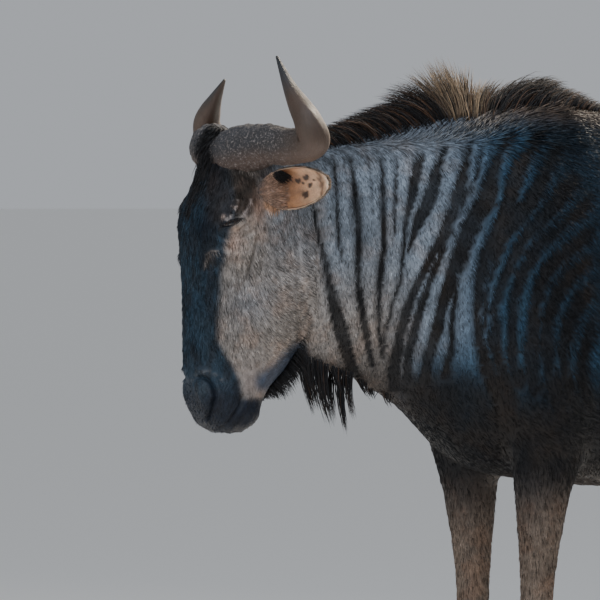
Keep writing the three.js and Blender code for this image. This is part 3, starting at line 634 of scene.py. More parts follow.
def worked(points, normals):
    """Points of the hide after the folds, lids, nostrils and mouth are worked in."""
    d, y, s = to_head(points)
    across, down = seen(points)
    sideways = step(np.abs(y), 0.016, 0.032)
    near_head = step(d, 0.235, 0.205) * step(s, 0.02, 0.06)
    move = np.zeros(len(points))
    for line, width, depth in CREASES:
        move -= depth * bell(off_line(across, down, line) / width) * sideways * near_head
    for middle, wide, high, height in FACE_FORMS:
        move += height * spot(across, down, middle, wide, high) * sideways * near_head
    # small wrinkles round the eye and over the muzzle
    around_eye = spot(across, down, EYE_SEEN, 17, 17) * near_head
    move += 0.7 * np.sin(across * 1.05 + down * 0.35) * around_eye
    muzzle = step(s, 0.385, 0.43) * near_head
    move += 0.35 * np.sin(across * 1.9 + 2.1 * np.sin(down * 0.8)) * muzzle
    # the folds of the neck follow the brindling
    behind_face = 1 - step(d, 0.20, 0.17) * step(s, 0.0, 0.03)
    move += (1.0 - 4.6 * brindle_and_fold_shade(points)) * step(points[:, 0], -0.22, -0.50) * behind_face
    moved = points + normals * (move / 1000)[:, None]

    along, up, out, away = eye_places(moved)
    reach = np.linalg.norm(away, axis=1)
    near = step(np.hypot(along, up), 0.034, 0.022) * (out > 0)
    lid = np.maximum(reach, LID_RADIUS + 0.0006 * np.sin(up * 1400) * step(np.abs(up), 0.004, 0.009))
    opening = np.where(up > 0, SLIT_UP, SLIT_DOWN) * np.clip(1 - (along / SLIT_HALF) ** 2, 0, 1)
    inside = step(np.abs(up), opening + 0.0006, opening - 0.0006)
    inside = inside * (np.abs(along) < SLIT_HALF) * (opening > 0.0006)
    rim = bell((np.abs(up) - opening - 0.0016) / 0.0014)
    rim = rim * step(np.abs(along), SLIT_HALF + 0.004, SLIT_HALF - 0.002)
    lid = lid + 0.0012 * rim
    lid = lid * (1 - inside) + (EYE_RADIUS - 0.004) * inside
    scale = (near * lid / np.maximum(reach, 1e-6) + (1 - near))[:, None]
    side = np.where(to_head(moved)[1] > 0, 1, -1)
    place = np.array(EYE_PLACE) + away * scale
    lidded = in_head(place[:, 0], side * place[:, 1], place[:, 2])
    return moved + (lidded - moved) * (near > 0)[:, None]


def in_region(limit):
    """A test of which faces lie in a region, for cutting them finer; "closest" is round the eyes."""

    def wanted(centres):
        d, y, s = to_head(centres)
        across, down = seen(centres)
        from_middle = np.hypot(across - EYE_SEEN[0], down - EYE_SEEN[1])
        if limit == "neck":
            return (s > -0.01) & (d < 0.225) | (centres[:, 0] < -0.50) & (centres[:, 2] > 0.9)
        if limit == "head":
            return (s > 0.12) & (d < 0.11) & ((s < 0.28) | (s > 0.38))
        if limit == "fine":
            nostril = np.hypot(across - 204, down - 396) < 32
            lips = off_line(across, down, MOUTH_LINE) < 9
            return (nostril | lips | (from_middle < 23)) & (np.abs(y) > 0.02) & (d < 0.12)
        return (from_middle < 16) & (np.abs(y) > 0.04) & (d < 0.10)

    return wanted


head_surface = BVHTree.FromObject(head_form, bpy.context.evaluated_depsgraph_get())


def snapped(points):
    """Points of the head laid back on the sections they came from."""
    d, y, s = to_head(points)
    placed = points.copy()
    for i in np.flatnonzero((d < 0.185) & (s > 0.02)):
        place, _, _, gap = head_surface.find_nearest(Vector(points[i]))
        if place is not None and gap < 0.006:
            keep = float(step(np.array(gap), 0.006, 0.003) * step(d[i], 0.188, 0.145))
            placed[i] += (np.array(place) - points[i]) * keep
    return placed


for limit in ("neck", "head", "fine", "closest"):
    refine(hide, in_region(limit))
    if limit != "neck":
        set_points(hide, smoothed(hide, snapped(points_of(hide)), 1, 0.6))
set_points(hide, snapped(points_of(hide)))
points = points_of(hide)
d, y, s = to_head(points)
join = bell((d - 0.184) / 0.026) * step(s, 0.05, 0.09)
set_points(hide, points + (smoothed(hide, points, 9, 0.8) - points) * join[:, None])
bpy.data.objects.remove(head_form)

# The hide lies inside the body's outline by the depth of the coat
points = points_of(hide)
on_head = head_share(points)
depth = 0.0012 * on_head + 0.0036 * (1 - on_head) * step(points[:, 2], 0.35, 0.85) + 0.0016 * (1 - on_head)
set_points(hide, points - normals_of(hide) * depth[:, None])
set_points(hide, worked(points_of(hide), normals_of(hide)))
shade_smooth(hide)

# Colours of the coat, where it isn't a dark line of the brindling
SLATE = (0.158, 0.182, 0.216)
# the next two are painted shade with a painted blue sky reflection
SLATE_IN_PAINTED_SHADE = (0.015, 0.042, 0.074)
BLACK_IN_PAINTED_SHADE = (0.0045, 0.0085, 0.0135)
DUN = (0.222, 0.192, 0.170)
BLACK = (0.0065, 0.0090, 0.0155)
UMBER = (0.030, 0.021, 0.016)
CREST_GREY = (0.080, 0.088, 0.102)
FLANK_GREY = (0.035, 0.035, 0.040)
RUMP_BROWN = (0.052, 0.044, 0.040)
SHANK = (0.112, 0.083, 0.064)
GREIGE = (0.212, 0.185, 0.167)
FAWN = (0.230, 0.130, 0.072)
PINK = (0.260, 0.165, 0.130)
# Colours of the face: dark temple and the hairs in it, hair before the ear, painted highlights over the eye
TEMPLE = (0.022, 0.017, 0.014)
TEMPLE_HAIRS = (0.075, 0.058, 0.050)
BEFORE_EAR = (0.20, 0.13, 0.10)
EAR_TUFT = (0.36, 0.205, 0.125)
EYE_FOLD_HIGHLIGHT = (0.30, 0.26, 0.25)
EYE_GLINT = (0.36, 0.31, 0.29)
EYE_GLINT_SPOT = (0.34, 0.25, 0.21)
# The mask down the front of the face with its streaks, brow and muzzle, and the nostril and mouth
# the mask's black, with a painted blue sky reflection
MASK_BLACK_SKY_SHEEN = (0.0170, 0.0310, 0.0470)
FACE_STREAK = (0.0120, 0.0105, 0.0110)
BROW = (0.0170, 0.0130, 0.0120)
MUZZLE = (0.024, 0.019, 0.018)
# painted highlight on the pad inside the nostril
NOSTRIL_PAD_HIGHLIGHT = (0.062, 0.085, 0.105)
NOSTRIL_RIM = (0.085, 0.088, 0.094)
LOWER_CHEEK = (0.115, 0.086, 0.078)
JAW_LINE = (0.030, 0.042, 0.066)
# Lines on the face, as points in the picture
BEHIND_EYE_LINE = [(257, 236), (254, 254), (247, 276)]
# the next two lines carry painted highlights on the folds and wrinkles over the eye
EYE_FOLD_HIGHLIGHT_LINE = [(244, 214), (249, 207), (252, 199)]
GLINT_LINE = [(229, 219), (233, 211), (237, 201)]
NOSTRIL_RIM_LINE = [(191, 379), (200, 370), (212, 369), (222, 377)]
UNDER_JAW_LINE = [(266, 380), (280, 369), (298, 350)]
# a painted highlight on the upper rim of the gland's disc
GLAND_HIGHLIGHT_LINE = [(206, 262), (208, 254), (213, 250), (219, 250)]


def blend(colour, other, amount):
    return colour + (np.array(other) - colour) * np.clip(amount, 0, 1)[:, None]


def layered(ground, layers, count):
    """A ground colour at each of count points, with other colours laid over it in turn."""
    colour = np.tile(np.array(ground), (count, 1))
    for other, amount in layers:
        colour = blend(colour, other, amount)
    return colour


def body_tone(points):
    """The colour of the trunk, neck and legs between the dark lines, with painted shade and sky reflection.
    """
    x, _, z = points.T
    crest_gap = np.interp(x, TRUNK[:, 0], TRUNK[:, 1]) - z
    across, down = seen(points, whole=True)
    chest = step(across, 396, 432) * step(x, 0.1, -0.2)
    return layered(SLATE, [
        (DUN, 0.85 * step(down, 235, 330) * step(across, 430, 375)),
        # the blue-black layers here are painted shade with a painted blue sky reflection, on the shoulder,
        # withers and lower chest
        (SLATE_IN_PAINTED_SHADE, step(across, 415, 514)),
        (CREST_GREY, 0.75 * step(crest_gap, 0.062, 0.022) * step(x, -0.40, -0.47)),
        (BLACK_IN_PAINTED_SHADE, 0.90 * step(across, 500, 585) * (0.85 + 0.15 * wavy(points, 0.10, 15))),
        (BLACK_IN_PAINTED_SHADE, 0.80 * step(down, 190, 130) * step(across, 500, 560)),
        (UMBER, 0.85 * step(down, 322, 394) * step(across, 440, 395)),
        (SLATE_IN_PAINTED_SHADE, 0.80 * step(down, 318, 378) * chest),
        (BLACK_IN_PAINTED_SHADE, 0.95 * step(down, 352, 400) * chest),
        (UMBER, 0.75 * step(crest_gap, 0.050, 0.015) * step(x, -0.47, -0.40)),
        (FLANK_GREY, 0.85 * step(x, -0.16, 0.22)),
        (RUMP_BROWN, 0.60 * step(x, 0.30, 0.75)),
        (UMBER, 0.6 * step(z, 0.86, 0.74) * step(x, -0.45, -0.30)),
        (SHANK, step(z, 0.80, 0.62)),
        (UMBER, 0.85 * step(z, 0.13, 0.08)),
        (BLACK, 0.85 * step(x, 0.86, 0.90)),
        (UMBER, 0.8 * step(z, 1.345, 1.372) * step(x, -0.05, -0.2)),
    ], len(points))


def face_tone(points):
    """The colour of the head, with its dark mask down the front, wider over the muzzle."""
    d, _, s = to_head(points)
    across, down = seen(points)

    def at(middle, wide, high):
        return spot(across, down, middle, wide, high)

    def by(line):
        return off_line(across, down, line)

    edge = 0.036 + 0.012 * step(s, 0.20, 0.12) + 0.034 * step(s, 0.34, 0.42)
    mask = step(d, edge + 0.008, edge - 0.008)
    temple = np.hypot((across - 236) / 29, (down - 190) / 31) + 0.10 * wavy(points, 0.03, 16)
    above_eye = step(temple, 1.0, 0.70)
    over_brow = step(down, 226, 210)
    before_ear = np.hypot((across - 273) / 10, (down - 200) / 12)
    streaks = step(wavy(points * (1.0, 1.0, 0.25), 0.020, 24), -0.2, 0.7)
    muzzle_end = np.maximum(step(across, 252, 238), step(s, 0.440, 0.450))
    glint = off_line(across + 1.5 * wavy(points, 0.012, 21), down, GLINT_LINE)
    return layered(GREIGE, [
        (SLATE, 0.75 * step(s, 0.30, 0.12) * step(d, 0.07, 0.14)),
        (SLATE, 0.45 * at((250, 300), 26, 22)),
        (DUN, 0.6 * at((290, 335), 30, 20)),
        (UMBER, 0.55 * bell(by(BEHIND_EYE_LINE) / 4.5)),
        (TEMPLE, 0.97 * above_eye * over_brow),
        (TEMPLE_HAIRS, 0.40 * step(wavy(points, 0.022, 17), 0.35, 0.85) * above_eye * over_brow),
        (BEFORE_EAR, 0.9 * at((261, 203), 6, 18)),
        (EAR_TUFT, 0.97 * step(before_ear, 1.15, 0.75)),
        # painted highlight on a fold over the eye
        (EYE_FOLD_HIGHLIGHT, 0.5 * bell(by(EYE_FOLD_HIGHLIGHT_LINE) / 2.6)),
        (PINK, 0.50 * at((235, 240), 8, 11)),
        (FAWN, 0.45 * at((232, 227), 11, 4)),
        # black mask with a painted blue sky reflection
        (MASK_BLACK_SKY_SHEEN, mask),
        (FACE_STREAK, 0.45 * streaks * step(d, edge + 0.004, edge - 0.004)),
        (BROW, 0.80 * step(across, 201, 212) * step(down, 234, 216) * mask),
        (MUZZLE, 0.62 * step(down, 372, 420) * mask),
        # painted highlight on the pad inside the nostril
        (NOSTRIL_PAD_HIGHLIGHT, 0.70 * at((203, 389), 5, 10)),
        (LOWER_CHEEK, 0.60 * at((253, 382), 13, 22) * step(d, edge - 0.002, edge + 0.010)),
        (NOSTRIL_RIM, 0.50 * bell(by(NOSTRIL_RIM_LINE) / 3.2) * step(wavy(points, 0.012, 25), -0.6, 0.4)),
        (BLACK, 0.85 * step(s, 0.402, 0.456) * muzzle_end),
        (BLACK, 0.95 * step(down, 392, 402) * step(across, 233, 241)),
        (JAW_LINE, 0.95 * step(by(UNDER_JAW_LINE), 26, 6)),
        (UMBER, 0.7 * at((212, 257), 7, 7)),
        # painted highlight on the upper rim of the gland's disc
        (GREIGE, 0.55 * bell(by(GLAND_HIGHLIGHT_LINE) / 2.2)),
        # painted highlights on the wrinkled lids and a painted glint before the eye
        (EYE_GLINT, 0.70 * bell(glint / 3.6) * step(wavy(points, 0.016, 22), -0.8, 0.2)),
        (EYE_GLINT_SPOT, 0.60 * bell(np.hypot(across - 224, down - 215) / 2.2)),
        (BLACK, 0.85 * at((205, 226), 9, 12)),
        (BLACK, step(s, 0.075, 0.04)),
    ], len(points))


def tone(points):
    """The colour of the coat between the dark lines."""
    d, _, s = to_head(points)
    head = step(d, 0.235, 0.205) * step(s, -0.02, 0.03)
    return body_tone(points) * (1 - head[:, None]) + face_tone(points) * head[:, None]


def chest_painted_shade(points):
    """How dark the painted shade makes the chest and the upper arm below the dark lines, which run into it.
    """
    across, down = seen(points, whole=True)
    start = 350 + 34 * step(across, 466, 500) + 5 * wavy(points, 0.05, 26)
    keep = off_head(points) * step(points[:, 0], 0.05, -0.15)
    # a strip low on the chest where the painted shade thins, for a painted blue sky reflection
    sky_sheen_strip = 1 - 0.40 * bell((across - 468) / 13) * step(down, 445, 400)
    return 0.88 * step((down - start) / 44, 0, 1) * step(across, 385, 412) * keep * sky_sheen_strip


def mark(piece, places, own=None, each=1):
    """Write the colour, the brindling with its painted shade, and each hair's own shade on the points of a
    piece.
    """
    if own is None:
        own = np.full(len(places), 0.5)
    colours = np.concatenate([tone(places), own[:, None]], 1)
    darkness = np.maximum(brindle_and_fold_shade(places), chest_painted_shade(places))
    pattern = np.stack([darkness, wavy(places, 0.020, 11) * 0.5 + 0.5, 0 * own, own], 1)
    for name, values in (("tone", colours), ("pattern", pattern)):
        keep_on(piece, name, "FLOAT_COLOR", np.repeat(values, each, 0))


class Wire:
    """A socket, or a plain number, that makes maths nodes when it is used in an expression."""

    def __init__(self, made, socket):
        self.made, self.socket = made, socket

    def _with(self, operation, *values):
        return self.made.node("ShaderNodeMath", {"operation": operation}, *values)

    def __add__(self, other):
        return self._with("ADD", self, other)

    def __mul__(self, other):
        return self._with("MULTIPLY", self, other)

    def __sub__(self, other):
        return self._with("SUBTRACT", self, other)

    def __rsub__(self, other):
        return self._with("SUBTRACT", other, self)

    def __truediv__(self, other):
        return self._with("DIVIDE", self, other)

    def __pow__(self, other):
        return self._with("POWER", self, other)

    __radd__, __rmul__ = __add__, __mul__


class Finish:
    """A material, and the nodes it is made of."""

    def __init__(self, name, **constants):
        self.material = bpy.data.materials.new(name)
        self.material.use_nodes = True
        self.tree = self.material.node_tree
        self.shader = self.tree.nodes["Principled BSDF"]
        for socket, value in constants.items():
            self.shader.inputs[socket.replace("_", " ")].default_value = value

    def node(self, kind, settings, *values, out=0, **named):
        made = self.tree.nodes.new(kind)
        for setting, value in settings.items():
            if setting == "stops":
                ramp = made.color_ramp
                while len(ramp.elements) < len(value):
                    ramp.elements.new(0.5)
                for element, (place, colour) in zip(ramp.elements, value):
                    element.position = place
                    element.color = (*colour, 1)
            else:
                setattr(made, setting, value)
        sockets = [socket for socket in made.inputs if socket.enabled]
        pairs = list(zip(sockets, values))
        pairs += [(made.inputs[name.replace("_", " ")], value) for name, value in named.items()]
        for socket, value in pairs:
            self.put(value, socket)
        outputs = [socket for socket in made.outputs if socket.enabled]
        return Wire(self, outputs[out] if isinstance(out, int) else made.outputs[out])

    def put(self, value, socket):
        if isinstance(value, Wire):
            self.tree.links.new(value.socket, socket)
        elif value is not None:
            takes = socket.default_value
            if hasattr(takes, "__len__") and len(value) == 3 and len(takes) == 4:
                value = (*value, 1)
            socket.default_value = value

    def attribute(self, name, part="Color"):
        return self.node("ShaderNodeAttribute", {"attribute_name": name}, out=part)

    def axis(self, vector, name):
        return self.node("ShaderNodeSeparateXYZ", {}, Vector=vector, out=name)

    def place(self, scale=(1, 1, 1), turn=(0, 0, 0)):
        where = self.node("ShaderNodeTexCoord", {}, out="Object")
        return self.node("ShaderNodeMapping", {}, Vector=where, Scale=scale, Rotation=turn)

    def noise(self, scale, where=None, detail=3.0, rough=0.55):
        where = where or self.place()
        return self.node("ShaderNodeTexNoise", {}, Vector=where, Scale=scale, Detail=detail, Roughness=rough)

    def soft(self, value, low, high, to_low=0.0, to_high=1.0):
        kind = {"interpolation_type": "SMOOTHSTEP"}
        return self.node(
            "ShaderNodeMapRange", kind,
            Value=value, From_Min=low, From_Max=high, To_Min=to_low, To_Max=to_high,
        )

    def mix(self, amount, a, b, how="MIX"):
        made = self.tree.nodes.new("ShaderNodeMix")
        made.data_type, made.blend_type = "RGBA", how
        for value, socket in zip((amount, a, b), (made.inputs[0], made.inputs[6], made.inputs[7])):
            self.put(value, socket)
        return Wire(self, made.outputs[2])

    def dim(self, colour, amount):
        """A colour times a number that changes over the surface."""
        return self.node("ShaderNodeVectorMath", {"operation": "SCALE"}, Vector=colour, Scale=amount)

    def wear(self, colour=None, rough=None, bump=None, strength=0.5, depth=0.001):
        if colour is not None:
            self.put(colour, self.shader.inputs["Base Color"])
        if rough is not None:
            self.put(rough, self.shader.inputs["Roughness"])
        if bump is not None:
            bumped = self.node("ShaderNodeBump", {}, Strength=strength, Distance=depth, Height=bump)
            self.put(bumped, self.shader.inputs["Normal"])
        return self.material


# dark colours of the brindling's lines and of the painted shade on the neck's folds and the chest
STRIPE_AND_SHADE_BLACK = (0.0042, 0.0040, 0.0048)
STRIPE_AND_SHADE_BROWN = (0.0095, 0.0070, 0.0056)
WARM_TINT = (1.13, 0.98, 0.89)
BLUE_SHEEN = (0.62, 0.74, 1, 1)


def coat_finish(name, on_skin):
    made = Finish(
        name, Specular_IOR_Level=0.15, Sheen_Weight=0.015, Sheen_Roughness=0.4, Sheen_Tint=BLUE_SHEEN
    )
    ground = made.attribute("tone")
    each = made.attribute("tone", "Alpha")
    pattern = made.attribute("pattern")
    split = {"mode": "RGB"}
    dark = made.node("ShaderNodeSeparateColor", split, Color=pattern, out="Red")
    clump = made.node("ShaderNodeSeparateColor", split, Color=pattern, out="Green")
    patchy = made.noise(13.0, made.place((1, 1, 0.6)), 4.0, 0.6)
    fibre = made.noise(330.0, made.place((0.45, 1, 0.30)), 3.0, 0.65)
    lustre = made.soft(patchy, 0.3, 0.7, 0.80, 1.18) * (each * 1.5 + 0.22) * (clump * 0.34 + 0.83)
    lustre = lustre * made.soft(fibre, 0.25, 0.75, 0.72, 1.28)
    amount = dark * made.soft(patchy, 0.2, 0.4, 0.97, 1.05)
    # the colour of the brindling's lines and of the painted shade
    stripe_and_shade_colour = made.mix(made.soft(patchy, 0.45, 0.66), STRIPE_AND_SHADE_BLACK, STRIPE_AND_SHADE_BROWN)
    banded = made.mix(amount, ground, stripe_and_shade_colour)
    warm = made.noise(23.0, None, 3.0)
    tinted = made.mix(made.soft(warm, 0.46, 0.68, 0.0, 0.8), banded, WARM_TINT, "MULTIPLY")
    colour = made.dim(tinted, lustre)
    rough = made.soft(fibre, 0.3, 0.7, 0.48, 0.64)
    return made.wear(colour, rough, fibre if on_skin else None, 0.55, 0.0014)


def unwrapped(piece, margin):
    """Give a piece its own unwrap, in a layer named OFBake."""
    alone(piece)
    bpy.ops.object.mode_set(mode="EDIT")
    bpy.ops.mesh.select_all(action="SELECT")
    bpy.ops.uv.smart_project(angle_limit=math.radians(66), island_margin=margin)
    bpy.ops.object.mode_set(mode="OBJECT")
    piece.data.uv_layers[0].name = "OFBake"


hide_finish = coat_finish("hide_with_short_hair", True)
tuft_finish = coat_finish("coat_hair", False)
mark(hide, points_of(hide))
hide.data.materials.clear()
hide.data.materials.append(hide_finish)
unwrapped(hide, 0.002)
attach(hide, "root")
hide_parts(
    "head", "neck", "torso",
    "leg_front_left_upper", "leg_front_left_lower", "leg_front_right_upper", "leg_front_right_lower",
    "leg_hind_left_upper", "leg_hind_left_lower", "leg_hind_right_upper", "leg_hind_right_lower",
)

# Coat: short hair, about 4 to 34 mm long, lying flat from the face back over the neck and trunk and
# down the legs. It grows from the hide in thousands of thin, overlapping tufts. Each tuft is one
# closed sliver with a raised back, rooted in the hide and coloured by the place it grows from.

rng = np.random.default_rng(7)
hide_tree = BVHTree.FromObject(hide, bpy.context.evaluated_depsgraph_get())


def triangles_of(piece):
    """Corners, normals and places on the unwrap of every triangle of a piece."""
    mesh = piece.data
    mesh.calc_loop_triangles()
    count = len(mesh.loop_triangles)
    corner, loop = np.empty(count * 3, int), np.empty(count * 3, int)
    mesh.loop_triangles.foreach_get("vertices", corner)
    mesh.loop_triangles.foreach_get("loops", loop)
    unwrap = np.empty(len(mesh.loops) * 2)
    mesh.uv_layers["OFBake"].data.foreach_get("uv", unwrap)
    corner = corner.reshape(-1, 3)
    on_unwrap = unwrap.reshape(-1, 2)[loop].reshape(-1, 3, 2)
    return points_of(piece)[corner], normals_of(piece)[corner], on_unwrap


hide_corners, hide_normals, hide_unwrap = triangles_of(hide)
hide_middles = hide_corners.mean(1)
hide_areas = np.linalg.norm(
    np.cross(hide_corners[:, 1] - hide_corners[:, 0], hide_corners[:, 2] - hide_corners[:, 0]), axis=1
) / 2


def roots(chosen, each_metre):
    """Places on the hide to grow from: point, normal and place on the unwrap."""
    index = np.flatnonzero(chosen)
    wanted = hide_areas[index] * each_metre
    number = np.floor(wanted + rng.random(len(index))).astype(int)
    index = np.repeat(index, number)
    a, b = rng.random((2, len(index)))
    flip = a + b > 1
    a, b = np.where(flip, 1 - a, a), np.where(flip, 1 - b, b)
    share = np.stack([1 - a - b, a, b], 1)[:, :, None]
    normal = (hide_normals[index] * share).sum(1)
    normal /= np.linalg.norm(normal, axis=1, keepdims=True)
    return (hide_corners[index] * share).sum(1), normal, (hide_unwrap[index] * share).sum(1)


def turned_head(d, y, s):
    """A direction given as back, right and down in the head, in the body's frame."""
    return in_head(d, y, s) - in_head(np.zeros(1), np.zeros(1), np.zeros(1))


def unit(vectors):
    return vectors / np.maximum(np.linalg.norm(vectors, axis=-1, keepdims=True), 1e-9)


def lie(points, normals):
    """Which way the coat lies at points of the hide."""
    x, y, z = points.T
    zero, one = np.zeros(len(x)), np.ones(len(x))
    trunk = np.stack([one, zero, -0.25 - 0.5 * step(x, 0.35, 0.75)], 1)
    neck = np.stack([0.16 + 0.42 * step(x, -0.60, -0.28), zero, -one], 1)
    way = trunk + (neck - trunk) * (step(x, -0.12, -0.36) * step(z, 0.80, 0.95))[:, None]
    crest = np.stack([0.6 * one, zero, 0.8 * one], 1)
    way = way + (crest - way) * (0.9 * step(z, 1.285, 1.335) * step(x, -0.15, -0.45))[:, None]
    leg = np.stack([0.06 * one, zero, -one], 1)
    on_leg = step(z, 0.86, 0.74) * step(np.abs(y), 0.045, 0.075)
    way = way + (leg - way) * on_leg[:, None]
    d, _, s = to_head(points)
    angle = np.radians(8 + 60 * step(d, 0.045, 0.17) * step(s, 0.10, 0.28))
    up_top = step(s, 0.10, 0.05)
    face = turned_head(np.sin(angle), zero, np.cos(angle) * (1 - 0.4 * up_top))
    head = step(d, 0.215, 0.190) * step(s, 0.0, 0.04)
    way = way + (face - way) * head[:, None]
    way = way - normals * (way * normals).sum(1)[:, None]
    return unit(way)


PATCH = 0.003


def closed_slivers(name, rows, tips, unwrap, finish):
    """
    Hairs as closed slivers. rows is (hair, row, 3 points): left, right and back of each row; the
    tips close them. Each hair is one small patch at its root's place on the hide's unwrap.
    """
    hairs, levels = rows.shape[:2]
    size = levels * 3 + 1
    points = np.concatenate([rows.reshape(hairs, -1, 3), tips[:, None]], 1).reshape(-1, 3)
    faces = [(0, 2, 1)]
    for r in range(levels - 1):
        a = r * 3
        for i, j in ((0, 1), (1, 2), (2, 0)):
            faces += [(a + i, a + j, a + 3 + j), (a + i, a + 3 + j, a + 3 + i)]
    top = (levels - 1) * 3
    faces += [(top + i, top + j, size - 1) for i, j in ((0, 1), (1, 2), (2, 0))]
    faces = np.array(faces)
    corners = (faces[None] + (np.arange(hairs) * size)[:, None, None]).reshape(-1)
    mesh = bpy.data.meshes.new(name)
    mesh.vertices.add(len(points))
    mesh.vertices.foreach_set("co", points.ravel())
    mesh.loops.add(len(corners))
    mesh.loops.foreach_set("vertex_index", corners)
    mesh.polygons.add(len(corners) // 3)
    mesh.polygons.foreach_set("loop_start", np.arange(0, len(corners), 3))
    mesh.polygons.foreach_set("loop_total", np.full(len(corners) // 3, 3))
    mesh.update(calc_edges=True)
    mesh.polygons.foreach_set("use_smooth", np.ones(len(corners) // 3, bool))
    along = np.concatenate([np.repeat(np.arange(levels), 3) / levels, [1.0]])
    across = np.concatenate([np.tile([0.0, 1.0, 0.5], levels), [0.5]])
    patch = PATCH * np.stack([across - 0.5, along - 0.5], 1)[faces.ravel()]
    layer = mesh.uv_layers.new(name="OFBake")
    layer.data.foreach_set("uv", (unwrap[:, None] + patch[None]).clip(0.0001, 0.9999).ravel())
    piece = bpy.data.objects.new(name, mesh)
    bpy.context.collection.objects.link(piece)
    mesh.materials.append(finish)
    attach(piece, "root")
    return piece, size


def tufts(name, chosen, each_metre, length, width, rise, finish, jitter=0.16):
    """Short coat over the chosen triangles of the hide. length, width and rise vary by place."""
    root, normal, unwrap = roots(chosen, each_metre)
    shade = rng.random(len(root))
    way = lie(root, normal)
    side = np.cross(normal, way)
    swirl = 0.13 * wavy(root, 0.022, 12) + 0.13 * wavy(root, 0.055, 13)
    way = unit(way + side * (rng.normal(0, jitter, len(root)) + swirl)[:, None])
    side = np.cross(normal, way)
    long = length(root) * (0.7 + 0.6 * rng.random(len(root)))
    wide = width(root) * (0.75 + 0.5 * rng.random(len(root)))
    up = np.radians(rise(root)) * (0.6 + 0.8 * rng.random(len(root))) * (1 + 0.32 * wavy(root, 0.018, 14))
    base = root - normal * 0.0006
    middle = base + (way * 0.42 + normal * (0.42 * np.sin(up))[:, None]) * long[:, None]
    lift = np.minimum(0.30 * wide, 0.0009)
    rows = np.stack(
        [
            base - side * (wide / 2)[:, None],
            base + side * (wide / 2)[:, None],
            middle + normal * lift[:, None],
        ],
        1,
    )
    tip = base + way * long[:, None] + normal * (np.sin(up) * long * 0.72)[:, None]
    piece, size = closed_slivers(name, rows[:, None], tip, unwrap, finish)
    mark(piece, root, shade, size)
    return piece


mx, my, mz = hide_middles.T
md, _, ms = to_head(hide_middles)
m_across, m_down = seen(hide_middles)
eye_along, eye_up, eye_out, _ = eye_places(hide_middles)
at_eye = (np.hypot(eye_along / 0.022, eye_up / 0.010) < 1) & (eye_out > 0)
in_nostril = off_line(m_across, m_down, NOSTRIL_LINE) < 4
at_lips = (off_line(m_across, m_down, MOUTH_LINE) < 2.5) & (md < 0.13)
bare = at_eye | (in_nostril & (ms > 0.40) & (md < 0.12)) | at_lips & (ms > 0.40)
sole = mz < 0.058
head_part = (md < 0.205) & (ms > 0.005)
leg_part = (mz < 0.76) & (np.abs(my) > 0.05) & ~head_part
neck_part = ~head_part & ~leg_part & (mx < -0.22)
trunk_part = ~head_part & ~leg_part & ~neck_part


def even(value):
    return lambda points: np.full(len(points), value)


def head_length(points):
    _, _, s = to_head(points)
    longer = 0.0130 - 0.0070 * step(s, 0.34, 0.42)
    return longer * (1 - 0.5 * spot(*seen(points), EYE_SEEN, 20, 18))


def head_width(points):
    return 0.0005 + head_length(points) * 0.055


def neck_length(points):
    return 0.0105 + 0.010 * step(points[:, 2], 1.27, 1.33) + 0.006 * step(points[:, 0], -0.45, -0.25)


def neck_rise(points):
    return 9 + 22 * step(points[:, 2], 1.295, 1.34)


for side, name in ((-1, "left"), (1, "right")):
    here = np.sign(my) == side
    # part, triangles it grows on, tufts to a square metre, length, width, degrees it rises, slot
    for part, chosen, number, length, width, rise, slot in (
        ("head", head_part & here & ~bare, 165000, head_length, head_width, even(10), "head_coat"),
        ("neck", neck_part & here, 92000, neck_length, even(0.0015), neck_rise, "body_coat"),
        ("trunk", trunk_part & here, 44000, even(0.018), even(0.0024), even(9), "body_coat"),
        ("legs", leg_part & here & ~sole, 50000, even(0.013), even(0.0017), even(10), "leg_coat"),
    ):
        tufts(f"coat_{part}_{name}", chosen, number, length, width, rise, tuft_finish)

# Eyes: dark, glossy balls 40 mm across, sunk between thick, nearly closed lids, with long black
# lashes along the upper lid that hang out and down over the slit.

IRIS_REACH = 0.0135
eye_finish = Finish("wet_eye", Roughness=0.05, IOR=1.38, Coat_Weight=1.0, Coat_Roughness=0.02)
seen_on_eye = eye_finish.attribute("on_eye", "Vector")
on_along = eye_finish.axis(seen_on_eye, "X")
on_up = eye_finish.axis(seen_on_eye, "Y")
iris_ring = ((on_along * 0.85) ** 2.0 + on_up**2.0) ** 0.5
pupil = ((on_along * 1.15) ** 2.0 + (on_up * 2.6) ** 2.0) ** 0.5
streaks = eye_finish.noise(260.0)
iris = eye_finish.mix(streaks, (0.030, 0.014, 0.007), (0.070, 0.034, 0.016))
iris = eye_finish.mix(eye_finish.soft(pupil, 0.36, 0.42), (0.002, 0.002, 0.003), iris)
white = eye_finish.mix(streaks, (0.16, 0.12, 0.10), (0.09, 0.06, 0.05))
eye_finish.wear(
    eye_finish.mix(eye_finish.soft(iris_ring, 0.66, 0.74), iris, white),
    eye_finish.soft(streaks, 0.0, 1.0, 0.03, 0.08),
)

hair_finish = Finish(
    "long_black_hair",
    Specular_IOR_Level=0.22, Sheen_Weight=0.03, Sheen_Roughness=0.35, Sheen_Tint=(0.6, 0.72, 1, 1),
)
hair_tone = hair_finish.attribute("tone")
hair_each = hair_finish.attribute("tone", "Alpha")
hair_fibre = hair_finish.noise(240.0, hair_finish.place((1, 1, 0.12)), 3.0, 0.6)
hair_finish.wear(
    hair_finish.dim(hair_tone, (hair_each + 0.45) * hair_finish.soft(hair_fibre, 0.25, 0.75, 0.75, 1.25)),
    hair_finish.soft(hair_fibre, 0.3, 0.7, 0.60, 0.78),
    hair_fibre, 0.4, 0.0006,
)


HAIR_FLAT = 0.45
HAIR_BLUNT = 0.25


